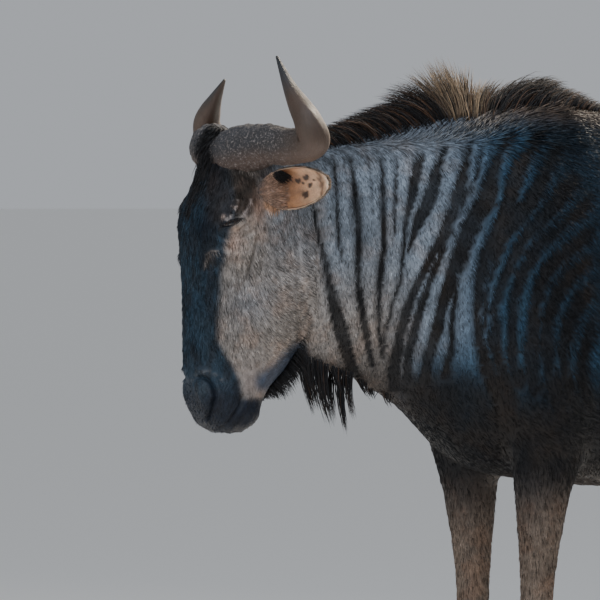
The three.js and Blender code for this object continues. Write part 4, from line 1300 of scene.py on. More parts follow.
def long_hair(name, paths, width, colours, shade):
    """
    Long hairs along paths (hair, point, 3). Each tapers from its width at the root to a point, with
    a three-sided section, and turns its flat some way by chance.
    """
    hairs, points = paths.shape[:2]
    along = unit(np.gradient(paths, axis=1))
    facing = unit(rng.normal(0, 1, (hairs, 3)))
    side = unit(np.cross(along, facing[:, None]))
    out = unit(np.cross(side, along))
    t = np.linspace(0, 1, points)
    fine = (1 - t**1.6) * (1 - HAIR_BLUNT) + HAIR_BLUNT * (1 - t**4)
    half = (width[:, None] / 2 * fine)[..., None]
    left, right = paths - side * half - out * half * 0.3, paths + side * half - out * half * 0.3
    rows = np.stack([left, right, paths + out * half * HAIR_FLAT * 2], 2)
    places = np.empty((hairs, 2))
    for i, root in enumerate(paths[:, 0]):
        _, _, face, _ = hide_tree.find_nearest(Vector(root))
        first = hide.data.polygons[face].loop_start
        places[i] = hide.data.uv_layers["OFBake"].data[first].uv
    piece, size = closed_slivers(name, rows[:, :-1], paths[:, -1], places, hair_finish.material)
    values = np.repeat(np.concatenate([colours, shade[:, None]], 1), size, 0)
    keep_on(piece, "tone", "FLOAT_COLOR", values)
    return piece


def swept(root, start, finish_way, length, points, curl=0.0):
    """Paths that leave along start and bend over to finish_way, evenly along their length."""
    t = np.linspace(0, 1, points)[None, :, None]
    way = unit(start[:, None] * (1 - t) + finish_way[:, None] * t)
    step_by = way * (length / (points - 1))[:, None, None]
    path = root[:, None] + np.concatenate([np.zeros((len(root), 1, 3)), np.cumsum(step_by[:, :-1], 1)], 1)
    if curl:
        turn = rng.random((len(root), 1)) * 6.28
        sway = np.sin(t[..., 0] * 5 + turn) - np.sin(turn)
        path += (curl * length)[:, None, None] * sway[..., None] * unit(rng.normal(0, 1, (len(root), 1, 3)))
    return path


for side, name in ((-1, "left"), (1, "right")):
    centre = in_head(*[np.array([v]) for v in (EYE_PLACE[0], side * EYE_PLACE[1], EYE_PLACE[2])])[0]
    bpy.ops.object.select_all(action="DESELECT")
    bpy.ops.mesh.primitive_uv_sphere_add(segments=64, ring_count=40, radius=EYE_RADIUS, location=centre)
    eye = bpy.context.view_layer.objects.active
    eye.name = f"eyeball_{name}"
    bpy.ops.object.transform_apply(location=True, rotation=True, scale=True)
    points = points_of(eye)
    along, up, out, _ = eye_places(points)
    # the clear front of the eye swells a little past the ball
    swell = 0.0009 * bell(np.hypot(along, up) / 0.0085) * (out > 0)
    points += (points - centre) / EYE_RADIUS * swell[:, None]
    set_points(eye, points)
    on_eye = np.stack([along, up, np.where(out > 0, 0, 1)], 1) / IRIS_REACH
    keep_on(eye, "on_eye", "FLOAT_VECTOR", on_eye)
    eye.data.materials.append(eye_finish.material)
    bpy.ops.object.shade_smooth()
    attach(eye, "root")
    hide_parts(f"eye_{name}")

    count = 95
    at = np.linspace(-0.93, 0.98, count) + rng.normal(0, 0.012, count)
    along = at * SLIT_HALF
    up = SLIT_UP * (1 - np.clip(at, -1, 1) ** 2) + 0.0012 + rng.random(count) * 0.0012
    out = np.sqrt(np.maximum(LID_RADIUS**2 - along**2 - up**2, 1e-8)) + 0.0002
    root = from_eye(along, up, out, side)
    beyond = from_eye(along * 1.5 + rng.normal(0, 0.002, count), up - 0.004, out + 0.012, side)
    below = from_eye(along * 1.9 - 0.004 + rng.normal(0, 0.002, count), up - 0.020, out + 0.016, side)
    length = 0.013 + 0.008 * np.sin(np.clip(at * 0.5 + 0.6, 0, 1) * math.pi) * rng.random(count)
    long_hair(
        f"lashes_{name}", swept(root, unit(beyond - root), unit(below - beyond), length, 6),
        np.full(count, 0.0007), np.tile(np.array((0.010, 0.008, 0.008)), (count, 1)), rng.random(count),
    )

# Ears: thin leaves of gristle and skin, rolled into a cup that opens forwards and outwards. The
# outside has short grey hair; the inside is tan skin with dark spots and a tuft of black hair.

EAR_ROOT = np.array((0.100, 0.064, 0.109))
EAR_TIP = np.array((0.168, 0.198, 0.090))
EAR_HALF_WIDTH = 0.0325
EAR_CUP = 0.030
EAR_ROLL = 1.2
EAR_THICKNESS = 0.0050
EAR_OPENING = np.array((-0.86, 0.42, 0.20))
EAR_SHAPE = np.array([
    (0.0, 0.24, 0.25),
    (0.14, 0.50, 0.45),
    (0.32, 0.84, 0.80),
    (0.5, 1.02, 0.95),
    (0.7, 1.00, 0.80),
    (0.9, 0.70, 0.50),
    (1.0, 0.30, 0.20),
])
ear_along = EAR_TIP - EAR_ROOT
ear_length = np.linalg.norm(ear_along)
ear_along = ear_along / ear_length
ear_opening = EAR_OPENING - ear_along * EAR_OPENING.dot(ear_along)
ear_opening /= np.linalg.norm(ear_opening)
ear_across = np.cross(ear_along, ear_opening)


def ear_place(t, w, lift):
    """A place on the ear, as back, right and down in the head, for the animal's right ear."""
    width, cup = np.moveaxis(through(EAR_SHAPE, t.ravel())[:, 1:].reshape(*t.shape, 2), -1, 0)
    roll = w * EAR_ROLL
    wide = EAR_HALF_WIDTH * width * np.sin(roll) / math.sin(EAR_ROLL)
    rise = EAR_CUP * cup * (1 - np.cos(roll)) * 1.3 + lift
    # the rim turns in a little and waves
    rise = rise + 0.0016 * np.sin(t * 17 + w * 2) * np.abs(w) ** 3
    place = EAR_ROOT + ear_along * (t * ear_length)[..., None]
    return place + ear_across * wide[..., None] + ear_opening * rise[..., None]


def ear_filling(t, w):
    """How far the solid root of the ear fills the cup."""
    deep = 0.026 * through(EAR_SHAPE, t.ravel())[:, 2].reshape(t.shape) + 0.004
    return deep * (1 - np.abs(w) ** 1.6) * step(t, 0.46, 0.26)


# Dark spots in the ear: middle in the picture, and size in millimetres
SPOTS = [
    ((298, 180), 5.6),
    ((306, 176.5), 6.0),
    ((310, 184), 5.6),
    ((306, 193.5), 7.0),
    ((303, 182), 3.4),
    ((314, 179), 3.0),
]
EAR_TAN = (0.330, 0.160, 0.078)
EAR_TIP_TAN = (0.52, 0.32, 0.20)
EAR_ROOT_TAN = (0.30, 0.185, 0.135)
EAR_FOLD = (0.16, 0.075, 0.040)
EAR_SPOT = (0.022, 0.012, 0.009)
EAR_MARGIN = (0.09, 0.045, 0.025)
EAR_RIM = (0.62, 0.47, 0.37)
EAR_BACK = (0.100, 0.092, 0.095)
EAR_BACK_TIP = (0.24, 0.17, 0.12)
ear_finish = Finish("ear_skin", Specular_IOR_Level=0.4, Subsurface_Weight=0.12, Subsurface_Scale=0.01)
ear_tone = ear_finish.attribute("tone")
ear_grain = ear_finish.noise(420.0, None, 4.0)
ear_cloud = ear_finish.noise(60.0, None, 3.0)
ear_mottle = ear_finish.soft(ear_grain, 0.2, 0.8, 0.80, 1.18)
ear_mottle = ear_mottle * ear_finish.soft(ear_cloud, 0.25, 0.75, 0.78, 1.2)
ear_finish.wear(
    ear_finish.dim(ear_tone, ear_mottle),
    ear_finish.soft(ear_grain, 0.3, 0.7, 0.42, 0.60),
    ear_grain, 0.4, 0.0008,
)
for side, name in ((-1, "left"), (1, "right")):
    t, w = np.meshgrid(np.linspace(0, 1, 70), np.linspace(-1, 1, 56), indexing="ij")
    thick = EAR_THICKNESS / 2 * (1 - 0.6 * t) * (1 - 0.45 * np.abs(w) ** 4)
    ridges = 0.0007 * np.sin(w * 16) * bell(w / 0.7) * np.sin(t * math.pi)
    inner, outer = ear_place(t, w, thick + ridges + ear_filling(t, w)), ear_place(t, w, -thick)
    rings = np.concatenate([inner, outer[:, ::-1]], 1)
    rings = in_head(rings[..., 0], side * rings[..., 1], rings[..., 2])
    ear = face_outwards(lofted(f"ear_{name}_skin", rings))
    points = points_of(ear)
    across, down = seen(points)
    flat_t = np.concatenate([np.repeat(t[:, 0], 112), [0, 1]])
    flat_w = np.concatenate([np.concatenate([w, w[:, ::-1]], 1).ravel(), [0, 0]])
    is_inner = np.concatenate([np.ones_like(w), np.zeros_like(w)], 1)
    is_inner = np.concatenate([is_inner.ravel(), [0, 0]])
    rim = np.maximum(np.abs(flat_w), flat_t)
    colour = layered(EAR_TAN, [
        (EAR_TIP_TAN, step(flat_t, 0.50, 0.85)),
        (EAR_ROOT_TAN, step(flat_t, 0.44, 0.30)),
        (EAR_FOLD, 0.6 * bell((np.abs(flat_w) - 0.25) / 0.16) * step(flat_t, 0.9, 0.5)),
    ], len(points))
    for (u, v), size in SPOTS:
        gap = np.hypot((across - u) * PIXEL_MM, (down - v) * PIXEL_MM) / size
        gap = gap + 0.25 * wavy(points, 0.009, 23)
        colour = blend(colour, EAR_SPOT, 0.93 * step(gap, 1.05, 0.55))
    colour = blend(colour, EAR_MARGIN, 0.9 * bell((rim - 0.90 + 0.02 * wavy(points, 0.012, 18)) / 0.035))
    colour = blend(colour, EAR_RIM, 0.95 * step(rim, 0.945, 0.985))
    outside = layered(EAR_BACK, [(EAR_BACK_TIP, step(flat_t, 0.7, 1.0))], len(points))
    colour = outside + (colour - outside) * is_inner[:, None]
    with_own = np.concatenate([colour, 0.5 * np.ones((len(points), 1))], 1)
    keep_on(ear, "tone", "FLOAT_COLOR", with_own)
    shade_smooth(ear)
    ear.data.materials.append(ear_finish.material)
    unwrapped(ear, 0.01)
    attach(ear, "root")
    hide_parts(f"ear_{name}")

    # short hair on the back of the ear, a fringe round its rim, and black hair at its front
    def ear_hair(piece_name, t, w, lift, rise_by, length, width, colour, inward=0.0):
        root = ear_place(t, w, lift)
        near = 1e-3
        along = unit(ear_place(t + near, w, lift) - root)
        out = unit(np.cross(along, unit(ear_place(t, w + near, lift) - root)))
        out *= np.sign((out * ear_opening).sum(1))[:, None]
        way = unit(along + out * rise_by[:, None] + ear_across * (w * 0.25 + inward)[:, None])
        way = unit(way + rng.normal(0, 0.10, (len(t), 3)))
        far_end = unit(way * 0.9 + ear_along * 0.4)
        path = swept(root, way, far_end, length, 4)
        placed = in_head(path[..., 0], side * path[..., 1], path[..., 2])
        return long_hair(piece_name, placed, width, colour, rng.random(len(t)))

    count = 4200
    t, w = rng.random(count) ** 0.9 * 0.97, rng.random(count) * 2 - 1
    grey = layered((0.085, 0.080, 0.086), [((0.20, 0.15, 0.11), step(t, 0.75, 1.0))], count)
    ear_hair(
        f"ear_{name}_back_hair", t, w, -EAR_THICKNESS / 2 * (1 - 0.6 * t), -0.16 * np.ones(count),
        0.007 + 0.003 * rng.random(count), np.full(count, 0.0010), grey,
    )
    count = 900
    around = rng.random(count) * 2 - 1
    t = np.where(np.abs(around) < 0.35, 0.985, 1 - (np.abs(around) - 0.35) / 0.65 * 0.95)
    w = np.where(np.abs(around) < 0.35, around / 0.35, np.sign(around) * 0.985)
    pale = np.tile(np.array((0.36, 0.25, 0.17)), (count, 1)) * (0.4 + 0.9 * rng.random((count, 1)))
    ear_hair(
        f"ear_{name}_rim_hair", t, w, 0 * t, 0.3 * (rng.random(count) - 0.6),
        0.004 + 0.004 * rng.random(count), np.full(count, 0.0007), pale,
    )
    count = 420
    t = 0.42 + 0.045 * rng.normal(0, 1, count).clip(-2, 2)
    w = -0.70 + 0.13 * rng.normal(0, 1, count).clip(-2, 2)
    dark = np.tile(np.array((0.012, 0.009, 0.008)), (count, 1))
    ear_hair(
        f"ear_{name}_inner_hair", t, w, EAR_THICKNESS / 2 * np.ones(count), 0.55 * np.ones(count),
        0.014 + 0.012 * rng.random(count), np.full(count, 0.0013), dark, 0.5,
    )

    count = 1500
    t, w = 0.01 + 0.42 * rng.random(count), 1.96 * rng.random(count) - 0.98
    tan = layered((0.150, 0.115, 0.100), [((0.32, 0.20, 0.14), step(t + 0.08 * w, 0.06, 0.24))], count)
    tan = tan * (0.6 + 0.7 * rng.random((count, 1)))
    ear_hair(
        f"ear_{name}_root_hair", t, w, EAR_THICKNESS / 2 + ear_filling(t, w), 0.10 * np.ones(count),
        0.006 + 0.003 * rng.random(count), np.full(count, 0.0009), tan, -0.1,
    )

# Horns: hollow sheaths of horn over bone. Each starts in a thick, rough boss on the brow, goes
# out and down to the side, then turns up and in to a smooth, black, pointed tip.

HORNS = {
    "left": np.array([
        (0.064, 0.014, -0.046, 0.033),
        (0.074, 0.062, -0.039, 0.039),
        (0.096, 0.120, -0.032, 0.033),
        (0.117, 0.175, -0.034, 0.029),
        (0.131, 0.220, -0.024, 0.027),
        (0.122, 0.219, 0.006, 0.023),
        (0.118, 0.191, 0.033, 0.018),
        (0.115, 0.164, 0.058, 0.012),
        (0.113, 0.111, 0.111, 0.0022),
    ]),
    "right": np.array([
        (0.064, 0.014, -0.046, 0.033),
        (0.074, 0.062, -0.039, 0.039),
        (0.096, 0.120, -0.032, 0.033),
        (0.117, 0.175, -0.034, 0.029),
        (0.131, 0.218, -0.025, 0.027),
        (0.124, 0.215, 0.000, 0.023),
        (0.119, 0.189, 0.022, 0.018),
        (0.116, 0.162, 0.040, 0.012),
        (0.113, 0.111, 0.074, 0.0022),
    ]),
}


def centripetal(p, steps):
    """A smooth curve through points, evenly timed, as rows of the same columns."""
    p = np.concatenate([[2 * p[0] - p[1]], p, [2 * p[-1] - p[-2]]])
    rows = []
    for i in range(1, len(p) - 2):
        gaps = [max(np.linalg.norm(p[j + 1, :3] - p[j, :3]) ** 0.5, 1e-4) for j in (i - 1, i, i + 1)]
        before = (p[i] - p[i - 1]) / gaps[0]
        here = (p[i + 1] - p[i]) / gaps[1]
        after = (p[i + 2] - p[i + 1]) / gaps[2]
        leave = (before - (p[i + 1] - p[i - 1]) / (gaps[0] + gaps[1]) + here) * gaps[1]
        arrive = (here - (p[i + 2] - p[i]) / (gaps[1] + gaps[2]) + after) * gaps[1]
        t = (np.arange(steps) / steps)[:, None]
        rows.append(smooth_way(t, p[i], leave, p[i + 1], arrive))
    return np.concatenate([*rows, p[-2:-1]])


def carried(path):
    """Two directions square to a path, carried along it without twisting."""
    along = unit(np.gradient(path, axis=0))
    first = np.cross(along[0], (0.31, 0.2, 0.93))
    firsts = []
    for way in along:
        first = first - way * first.dot(way)
        first /= np.linalg.norm(first)
        firsts.append(first)
    firsts = np.array(firsts)
    return firsts, np.cross(along, firsts)


horn_finish = Finish("horn", Specular_IOR_Level=0.38)
on_horn = horn_finish.attribute("on_horn", "Vector")
horn_t = horn_finish.axis(on_horn, "X")
horn_back = horn_finish.attribute("horn_back", "Fac")
stretch = {"Vector": on_horn, "Scale": (9.0, 26.0, 1.0)}
horn_grain = horn_finish.noise(4.0, horn_finish.node("ShaderNodeMapping", {}, **stretch), 5.0, 0.7)
horn_rough = horn_finish.noise(300.0, None, 5.0, 0.7)
horn_pits = horn_finish.node("ShaderNodeTexVoronoi", {}, Vector=horn_finish.place(), Scale=330.0)
boss_share = horn_finish.soft(horn_t, 0.62, 0.34)
growth = horn_finish.node("ShaderNodeMath", {"operation": "SINE"}, horn_t * 210.0 + horn_grain * 5.0)
# Colour along the horn, from the brow at 0 to the tip at 1
HORN_STOPS = [
    (0.0, (0.016, 0.015, 0.017)),
    (0.12, (0.024, 0.023, 0.026)),
    (0.38, (0.028, 0.024, 0.024)),
    (0.54, (0.042, 0.025, 0.016)),
    (0.74, (0.048, 0.026, 0.015)),
    (0.87, (0.020, 0.017, 0.017)),
    (0.955, (0.008, 0.009, 0.011)),
    (1.0, (0.006, 0.006, 0.006)),
]
UNDERSIDE = (0.088, 0.052, 0.037)
# painted highlight: cream where the low sun lights the back of the shaft
SUNLIT_CREAM = (0.340, 0.270, 0.215)
FLECK = (0.215, 0.180, 0.165)
# painted shade in the pits of the boss
PIT_SHADE = (0.020, 0.016, 0.014)
horn_colour = horn_finish.node(
    "ShaderNodeValToRGB", {"stops": HORN_STOPS}, horn_t + (horn_grain - 0.5) * 0.07
)
horn_under = horn_finish.axis(on_horn, "Z")
horn_colour = horn_finish.mix(horn_finish.soft(horn_under, 0.45, 0.85, 0.0, 0.65), horn_colour, UNDERSIDE)
# painted highlight on the back-facing side of the shaft
painted_sun_on_back = horn_finish.soft(horn_back, 0.74, 0.93, 0.0, 0.85) * horn_finish.soft(horn_t, 0.46, 0.62)
horn_colour = horn_finish.mix(painted_sun_on_back, horn_colour, SUNLIT_CREAM)
pale_flecks = horn_finish.soft(horn_rough, 0.52, 0.64, 0.0, 0.80) * boss_share
horn_colour = horn_finish.mix(pale_flecks, horn_colour, FLECK)
# painted shade in the pits of the boss
pit_painted_shade = horn_finish.soft(horn_pits, 0.28, 0.08, 0.0, 0.8) * boss_share
horn_colour = horn_finish.mix(pit_painted_shade, horn_colour, PIT_SHADE)
horn_colour = horn_finish.dim(horn_colour, horn_finish.soft(horn_grain, 0.25, 0.75, 0.68, 1.25))
horn_height = horn_rough * boss_share + horn_grain * 0.35 + growth * 0.03 * boss_share
horn_height = horn_height + horn_finish.soft(horn_pits, 0.0, 0.35) * boss_share * 0.6
horn_finish.wear(horn_colour, horn_finish.soft(boss_share, 0.0, 1.0, 0.44, 0.68), horn_height, 0.85, 0.0034)

for side, name in ((-1, "left"), (1, "right")):
    rows = centripetal(HORNS[name], 34)
    d, out, up, radius = rows.T
    path = in_head(d, side * out, -up)
    first, second = carried(path)
    angle = np.linspace(0, 2 * math.pi, 72, endpoint=False)
    # a rounded start, of rings that swell back from the first point
    cap = np.linspace(0.02, 0.98, 12)
    start_way = unit(path[0] - path[1])
    cap_path = path[0] + start_way * (0.42 * radius[0] * np.sqrt(1 - cap**2))[:, None]
    path = np.concatenate([cap_path, path])
    radius = np.concatenate([radius[0] * cap, radius])
    first = np.concatenate([np.repeat(first[:1], 12, 0), first])
    second = np.concatenate([np.repeat(second[:1], 12, 0), second])
    along = np.concatenate([[0], np.cumsum(np.linalg.norm(np.diff(path, axis=0), axis=1))])
    t = (along / along[-1])[:, None]
    a = angle[None, :]
    boss = 1 - np.clip((t - 0.30) / 0.28, 0, 1)
    lumps = (
        0.0012 * np.sin(a * 3 + 9 * t + 1.7) * np.sin(t * 31 + 2 * np.sin(a * 2))
        + 0.0010 * np.sin(a * 7 - 40 * t) * np.sin(t * 65 + a * 3)
        + 0.0008 * np.sin(a * 17 + 71 * t) * np.sin(a * 5 - 97 * t)
        + 0.0005 * np.sin(t * 150 + 1.5 * np.sin(a + 1))
    )
    size = radius[:, None] + lumps * boss * np.clip(radius[:, None] / 0.02, 0, 1)
    outward = np.cos(a)[..., None] * first[:, None] + np.sin(a)[..., None] * second[:, None]
    horn = face_outwards(lofted(f"horn_{name}_sheath", path[:, None] + size[..., None] * outward))
    # for the material: how far along, how far round, how far under and how far to the back
    from_seam = np.broadcast_to(np.abs(a / math.pi - 1), size.shape)
    place = np.stack([np.broadcast_to(t, size.shape), from_seam, 0.5 - 0.5 * outward[..., 2]], -1)
    place = np.concatenate([place.reshape(-1, 3), [(0, 0, 0), (1, 0, 0)]])
    facing_back = np.concatenate([(0.5 + 0.5 * outward[..., 0]).ravel(), [0.5, 0.5]])
    keep_on(horn, "on_horn", "FLOAT_VECTOR", place)
    keep_on(horn, "horn_back", "FLOAT", facing_back)
    horn.data.materials.append(horn_finish.material)
    shade_smooth(horn)
    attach(horn, "root")
    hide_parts(f"horn_{name}")

# Forelock: coarse black hair that stands between the bosses of the horns and lies down the brow,
# in hairs of about 20 to 46 mm that part a little to each side.

BLACK_HAIR = np.array((0.0090, 0.0075, 0.0075))
BROWN_HAIR = np.array((0.060, 0.030, 0.016))
# painted highlight: pale for the sun's glint on hairs at the mane's whorl
SUNLIT_HAIR_GLINT = np.array((0.34, 0.24, 0.15))


def head_front(s):
    return through(HEAD, s)[:, 1]


count = 1700
s = 0.012 + 0.120 * rng.random(count)
y = rng.normal(0, 0.016, count).clip(-0.038, 0.038)
root = in_head(head_front(s) + np.abs(y) * 0.22 + 0.002, y, s)
rise = turned_head(-0.55 + 0 * s, y * 5, 0.9 - 1.3 * step(s, 0.05, 0.02))
down_way = turned_head(0.06 + 0 * s, y * 3, 1.0 + 0 * s)
length = (0.030 + 0.016 * rng.random(count)) * (1 - 0.3 * step(s, 0.07, 0.13))
rise = unit(rise + rng.normal(0, 0.12, rise.shape))
down_way = unit(down_way + rng.normal(0, 0.10, rise.shape))
long_hair(
    "forelock", swept(root, rise, down_way, length, 5, 0.02),
    0.0013 + 0.0009 * rng.random(count), np.tile(BLACK_HAIR, (count, 1)), rng.random(count),
)

# Mane: long, coarse hair along the crest of the neck. It parts at a whorl before the withers: the
# front falls forwards and the back part backwards, and both lean over to the far side.

MANE_HEIGHTS = np.array([
    (-0.735, 0.020),
    (-0.712, 0.022),
    (-0.613, 0.029),
    (-0.550, 0.036),
    (-0.493, 0.044),
    (-0.443, 0.068),
    (-0.410, 0.108),
    (-0.392, 0.070),
    (-0.370, 0.056),
    (-0.333, 0.060),
    (-0.290, 0.058),
    (-0.226, 0.034),
    (-0.150, 0.017),
    (-0.080, 0.011),
])
PARTING = -0.404


def crest(x):
    return through(TRUNK, x)[:, 1]


for part, count, low, high in (
    ("front", 3300, -0.735, PARTING + 0.004),
    ("back", 2500, PARTING - 0.004, -0.080),
):
    x = low + (high - low) * rng.random(count) ** (0.8 if part == "front" else 1.15)
    y = rng.normal(0.004, 0.011, count).clip(-0.024, 0.030)
    root = np.stack([x, y, crest(x) - 0.005 - np.abs(y) * 0.20], 1)
    ahead = np.where(x < PARTING, -1.0, 1.0)
    open_out = step(np.abs(x - PARTING), 0.0, 0.075)
    height = through(MANE_HEIGHTS, x)[:, 1] * (0.55 + 0.45 * rng.random(count))
    far = 0.10 + 0.20 * rng.random(count)
    one = np.ones(count)
    lock = rng.normal(0, 1, (60, 3))[(x * 190).astype(int) % 60]
    rise = np.stack([ahead * (0.10 + 0.55 * open_out), far, one], 1)
    rise = unit(rise + 0.06 * lock + rng.normal(0, 0.04, (count, 3)))
    fall = unit(
        np.stack([ahead * (0.22 + 1.45 * open_out), far + 0.30 * one, one * (0.95 - 1.25 * open_out)], 1)
        + 0.10 * lock + rng.normal(0, 0.07, (count, 3))
    )
    length = height * (1.05 + 1.05 * open_out)
    # painted highlight on hairs near the whorl
    glint = step(np.abs(x - PARTING), 0.050, 0.012) * (rng.random(count) < 0.75)
    brown = (rng.random(count) < 0.34) * rng.random(count) * 1.6
    colour = BLACK_HAIR + (BROWN_HAIR - BLACK_HAIR) * brown[:, None]
    colour = colour + (SUNLIT_HAIR_GLINT - colour) * (glint * (0.35 + 0.6 * rng.random(count)))[:, None]
    long_hair(
        f"mane_{part}", swept(root, rise, fall, length, 7, 0.03),
        0.0010 + 0.0009 * rng.random(count), colour, rng.random(count),
    )

# Beard: separate bunches of long black hair that hang under the throat and slant back, with a
# short tuft under the chin.

BUNCHES = [
    # x, y, length, lean back, hairs
    (-0.752, -0.012, 0.030, 0.35, 40), (-0.738, 0.014, 0.040, 0.30, 40), (-0.728, -0.020, 0.052, 0.34, 60),
    (-0.716, 0.004, 0.086, 0.30, 50), (-0.706, -0.022, 0.094, 0.28, 56), (-0.698, 0.018, 0.070, 0.34, 36),
    (-0.690, -0.008, 0.062, 0.30, 40), (-0.674, -0.024, 0.034, 0.40, 30), (-0.662, 0.010, 0.082, 0.16, 40),
    (-0.655, -0.014, 0.094, 0.14, 60), (-0.648, -0.024, 0.070, 0.20, 30), (-0.634, 0.008, 0.026, 0.42, 24),
    (-0.612, -0.010, 0.016, 0.60, 24), (-0.588, 0.006, 0.014, 0.65, 20), (-0.566, -0.012, 0.012, 0.70, 20),
]
root, way, fall, length = [], [], [], []
for x, y, long, lean, hairs in BUNCHES:
    px = x + rng.normal(0, 0.0055, hairs)
    py = y + rng.normal(0, 0.0050, hairs)
    under = through(TRUNK, px)[:, 2] + np.abs(py) * 0.15 + 0.006
    base = np.stack([px, py, under], 1)
    end = np.array((x + lean * long, y * 1.1, through(TRUNK, np.array([x]))[0, 2] - long))
    end = end + rng.normal(0, 0.0030, (hairs, 3))
    reach = unit(end - base)
    root.append(base)
    way.append(unit(reach + np.array((-0.25, 0, -0.1))))
    fall.append(unit(reach + np.array((0.22, 0, 0.02))))
    length.append(np.linalg.norm(end - base, axis=1) * (0.70 + 0.34 * rng.random(hairs)))
root, way, fall, length = map(np.concatenate, (root, way, fall, length))
colour = BLACK_HAIR + (BROWN_HAIR * 0.8 - BLACK_HAIR) * ((rng.random(len(root)) < 0.15) * 0.7)[:, None]
long_hair(
    "beard", swept(root, way, fall, length, 8, 0.02),
    0.0012 + 0.0010 * rng.random(len(root)), colour, rng.random(len(root)),
)

count = 1100
s = 0.335 + 0.112 * rng.random(count)
y = rng.normal(0, 0.015, count).clip(-0.032, 0.032)
root = in_head(through(HEAD, s)[:, 2] - 0.004 - np.abs(y) * 0.15, y, s)
rise = unit(turned_head(0.75 + 0 * s, y * 8, 0.75 + 0 * s) + rng.normal(0, 0.10, (count, 3)))
down_way = unit(turned_head(0.42 + 0 * s, y * 4, 1.0 + 0 * s) + rng.normal(0, 0.10, (count, 3)))
length = (0.020 + 0.020 * rng.random(count)) * step(np.abs(s - 0.392), 0.058, 0.02) + 0.005
long_hair(
    "chin_tuft", swept(root, rise, down_way, length, 5),
    0.0010 + 0.0006 * rng.random(count), np.tile(BLACK_HAIR, (count, 1)), rng.random(count),
)

# Tail: a thin, short-haired dock with a long black tassel that starts a little below its root and
# hangs to below the hocks.

TAIL = np.array([
    (0.834, 0.0, 1.076, 0.033),
    (0.872, 0.0, 1.062, 0.029),
    (0.898, 0.0, 0.990, 0.022),
    (0.898, 0.0, 0.860, 0.017),
    (0.888, 0.0, 0.700, 0.013),
    (0.878, 0.0, 0.560, 0.009),
])
dock = centripetal(TAIL, 40)
count = 3000
t = 0.22 + 0.78 * rng.random(count) ** 0.9
at = dock[(t * (len(dock) - 1)).astype(int)]
angle = rng.random(count) * 2 * math.pi
out = np.stack([np.cos(angle), np.sin(angle), 0 * angle], 1)
root = at[:, :3] + out * at[:, 3:] * 0.85
tip_height = 0.275 + 0.22 * rng.random(count) ** 1.6
length = (root[:, 2] - tip_height) * (0.55 + 0.45 * rng.random(count)).clip(0.0, 1.0)
length = np.minimum(length, 0.42) * (0.35 + 0.65 * step(t, 0.2, 0.5))
fall = np.stack([out[:, 0] * 0.020 - 0.02, out[:, 1] * 0.03, -np.ones(count)], 1)
fall = unit(fall + rng.normal(0, 0.018, (count, 3)))
rise = unit(np.stack([out[:, 0] * 0.16, out[:, 1] * 0.20, -np.ones(count)], 1))
colour = BLACK_HAIR + (BROWN_HAIR - BLACK_HAIR) * ((rng.random(count) < 0.12) * 0.6)[:, None]
tassel = long_hair(
    "tail_tassel", swept(root, rise, fall, length, 8, 0.010),
    0.0015 + 0.0012 * rng.random(count), colour, rng.random(count),
)
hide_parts("tail")

# Hooves: two black claws of horn to each foot, side by side with a narrow cleft, with growth
# rings round them, and two small dewclaws behind. They carry the animal on flats at one level.

HOOF_HEIGHT = 0.062
HOOF_LEAN = 0.020
HOOF_HALF_LENGTH = 0.056
HOOF_HALF_WIDTH = 0.042
CLEFT = 0.0022
hoof_finish = Finish("hoof_horn", Specular_IOR_Level=0.5)
hoof_high = hoof_finish.axis(hoof_finish.place(), "Z")
hoof_wander = hoof_finish.noise(30.0)
hoof_rings = hoof_finish.node("ShaderNodeMath", {"operation": "SINE"}, hoof_high * 900.0 + hoof_wander * 5.0)
hoof_fibre = hoof_finish.noise(160.0, hoof_finish.place((1, 1, 0.12)), 4.0)
hoof_dust = hoof_finish.noise(38.0, None, 5.0, 0.65)
HOOF_BLACK = (0.018, 0.015, 0.013)
HOOF_BROWN = (0.050, 0.040, 0.033)
HOOF_DUST = (0.20, 0.155, 0.11)
hoof_colour = hoof_finish.mix(hoof_finish.soft(hoof_fibre, 0.3, 0.7), HOOF_BLACK, HOOF_BROWN)
dusty = hoof_finish.soft(hoof_dust, 0.48, 0.70, 0.0, 0.55) * hoof_finish.soft(hoof_high, 0.055, 0.0)
hoof_colour = hoof_finish.mix(dusty, hoof_colour, HOOF_DUST)
hoof_finish.wear(
    hoof_colour, hoof_finish.soft(hoof_dust, 0.3, 0.7, 0.32, 0.55),
    hoof_rings * 0.25 + hoof_fibre, 0.6, 0.0012,
)

